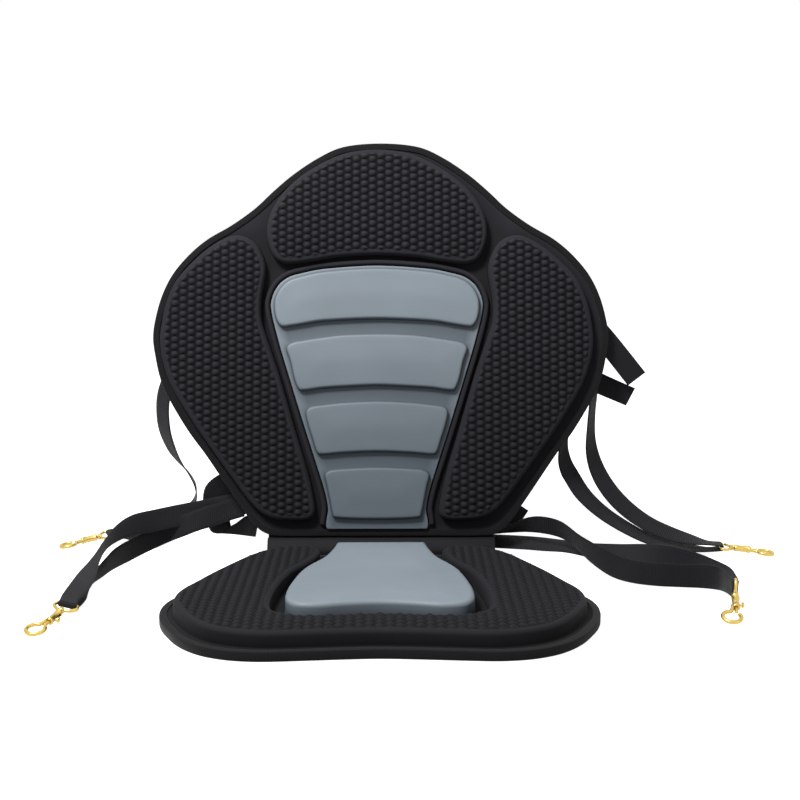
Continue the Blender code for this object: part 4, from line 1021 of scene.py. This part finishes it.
class KAYAKSEAT_OT_straps(bpy.types.Operator):
    """Run the webbing from the backrest to each snap and back, with its loose ends"""

    bl_idname = "kayak_seat.straps"
    bl_label = "Straps"

    def execute(self, context):
        make_straps(context)
        return {"FINISHED"}


def make_snaps(context):
    brass, wire = cast_brass(), spring_wire()
    acetal = moulded_plastic("moulded_acetal", "#1A1A1B", 0.42)
    board = moulded_plastic("pressed_board", "#202022", 0.6)
    for side in SNAPS:
        eye_place, hook_place = snap_frames(side)
        for piece, body, node in (
                (snap_eye(side, eye_place), "seat", "swivel_eye"),
                (snap_hook(side, hook_place), f"hook_{side}", "hook_body"),
                (snap_bolt(side, hook_place), f"bolt_{side}", "thumb_bolt")):
            smooth_shading(piece, 35)
            finish_piece(piece, brass, body, f"{side}_{node}")
        fixed, pushed = 17.5, 25.5
        coil = snap_spring(side, hook_place, fixed, pushed)
        finish_piece(coil, wire, None, f"{side}_bolt_spring")
        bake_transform(coil)
    for name, obj in frame["nodes"].items():
        look = acetal if name.endswith("_buckle") else board
        if name.endswith(("_buckle", "_board")):
            obj.data.materials.clear()
            obj.data.materials.append(look)


class KAYAKSEAT_OT_snaps(bpy.types.Operator):
    """Finish the brass bolt snaps, their springs and the plastic buckles"""

    bl_idname = "kayak_seat.snaps"
    bl_label = "Snaps and Buckles"

    def execute(self, context):
        make_snaps(context)
        return {"FINISHED"}


def make_stage(context):
    colours = context.scene.kayak_seat_colours
    bpy.ops.object.select_all(action="DESELECT")
    bpy.ops.mesh.primitive_plane_add(size=12, location=(0, 0, -0.0005))
    ground = context.object
    ground.name = "studio_floor"
    made, tree = new_material("studio_white", 0.9)
    # The floor is white to the camera and darker to the light that it throws back up.
    camera_ray, sharp_ray = direct_rays(tree)
    backdrop = add_node(tree, "Mix", {"data_type": "RGBA"}, {
        0: camera_ray, 6: (*linear("#7A7A7A"), 1), 7: (*colours.floor, 1)})
    glow = add_node(tree, "Math", {"operation": "MULTIPLY"}, {0: sharp_ray, 1: 0.93})
    shader = tree.nodes["Principled BSDF"]
    shader.inputs["Emission Color"].default_value = (1, 1, 1, 1)
    tree.links.new(glow.outputs["Value"], shader.inputs["Emission Strength"])
    ground.data.materials.append(dress(made, backdrop.outputs[2]))

    world = bpy.data.worlds.new("studio_world")
    context.scene.world = world
    world.use_nodes = True
    tree = world.node_tree
    background = tree.nodes["Background"]
    tree.links.new(between(tree, direct_rays(tree)[1], 0.1, 1), background.inputs["Strength"])
    background.inputs["Color"].default_value = (1, 1, 1, 1)

    for name, power, size, place, aim in (
            ("key_softbox", 52, 0.5, (-0.8, -0.7, 1.9), (0, 0.1, 0.15)),
            ("fill_softbox", 3, 1.6, (1.7, -1.5, 1.1), (0, 0.1, 0.15)),
            ("top_softbox", 4, 1.6, (0.1, 0.2, 2.2), (0, 0.1, 0.1))):
        lamp = bpy.data.lights.new(name, "AREA")
        lamp.energy = power
        lamp.size = size
        holder = bpy.data.objects.new(name, lamp)
        context.scene.collection.objects.link(holder)
        holder.location = place
        ahead = Vector(aim) - Vector(place)
        holder.rotation_euler = ahead.to_track_quat("-Z", "Y").to_euler()

    view = bpy.data.cameras.new("camera")
    view.lens = 61.1
    eye = bpy.data.objects.new("camera", view)
    context.scene.collection.objects.link(eye)
    eye.location = (0.0081, -1.3, 0.421)
    eye.rotation_euler = (radians(90 - 9.33), 0, radians(-0.5))
    context.scene.camera = eye
    context.scene.view_settings.view_transform = "Standard"


class KAYAKSEAT_OT_stage(bpy.types.Operator):
    """Set the white floor, the soft lamps and the camera"""

    bl_idname = "kayak_seat.stage"
    bl_label = "Studio"

    def execute(self, context):
        make_stage(context)
        return {"FINISHED"}


class KAYAKSEAT_PT_panel(bpy.types.Panel):
    """The steps that make the kayak seat"""

    bl_label = "Kayak Seat"
    bl_space_type = "VIEW_3D"
    bl_region_type = "UI"
    bl_category = "Kayak Seat"

    def draw(self, context):
        for operator in OPERATORS:
            self.layout.operator(operator.bl_idname)
        for group in (context.scene.kayak_seat_sizes, context.scene.kayak_seat_colours):
            for name in group.__annotations__:
                self.layout.prop(group, name)


OPERATORS = (KAYAKSEAT_OT_seat_pad, KAYAKSEAT_OT_backrest, KAYAKSEAT_OT_bindings,
             KAYAKSEAT_OT_straps, KAYAKSEAT_OT_snaps, KAYAKSEAT_OT_stage)
CLASSES = (KayakSeatSizes, KayakSeatColours) + OPERATORS + (KAYAKSEAT_PT_panel,)


def register():
    for made in CLASSES:
        bpy.utils.register_class(made)
    bpy.types.Scene.kayak_seat_sizes = PointerProperty(type=KayakSeatSizes)
    bpy.types.Scene.kayak_seat_colours = PointerProperty(type=KayakSeatColours)


def unregister():
    del bpy.types.Scene.kayak_seat_colours
    del bpy.types.Scene.kayak_seat_sizes
    for made in reversed(CLASSES):
        bpy.utils.unregister_class(made)


def main():
    register()
    bpy.ops.kayak_seat.seat_pad()
    bpy.ops.kayak_seat.backrest()
    bpy.ops.kayak_seat.bindings()
    bpy.ops.kayak_seat.straps()
    bpy.ops.kayak_seat.snaps()
    bpy.ops.kayak_seat.stage()


if __name__ == "__main__":
    main()
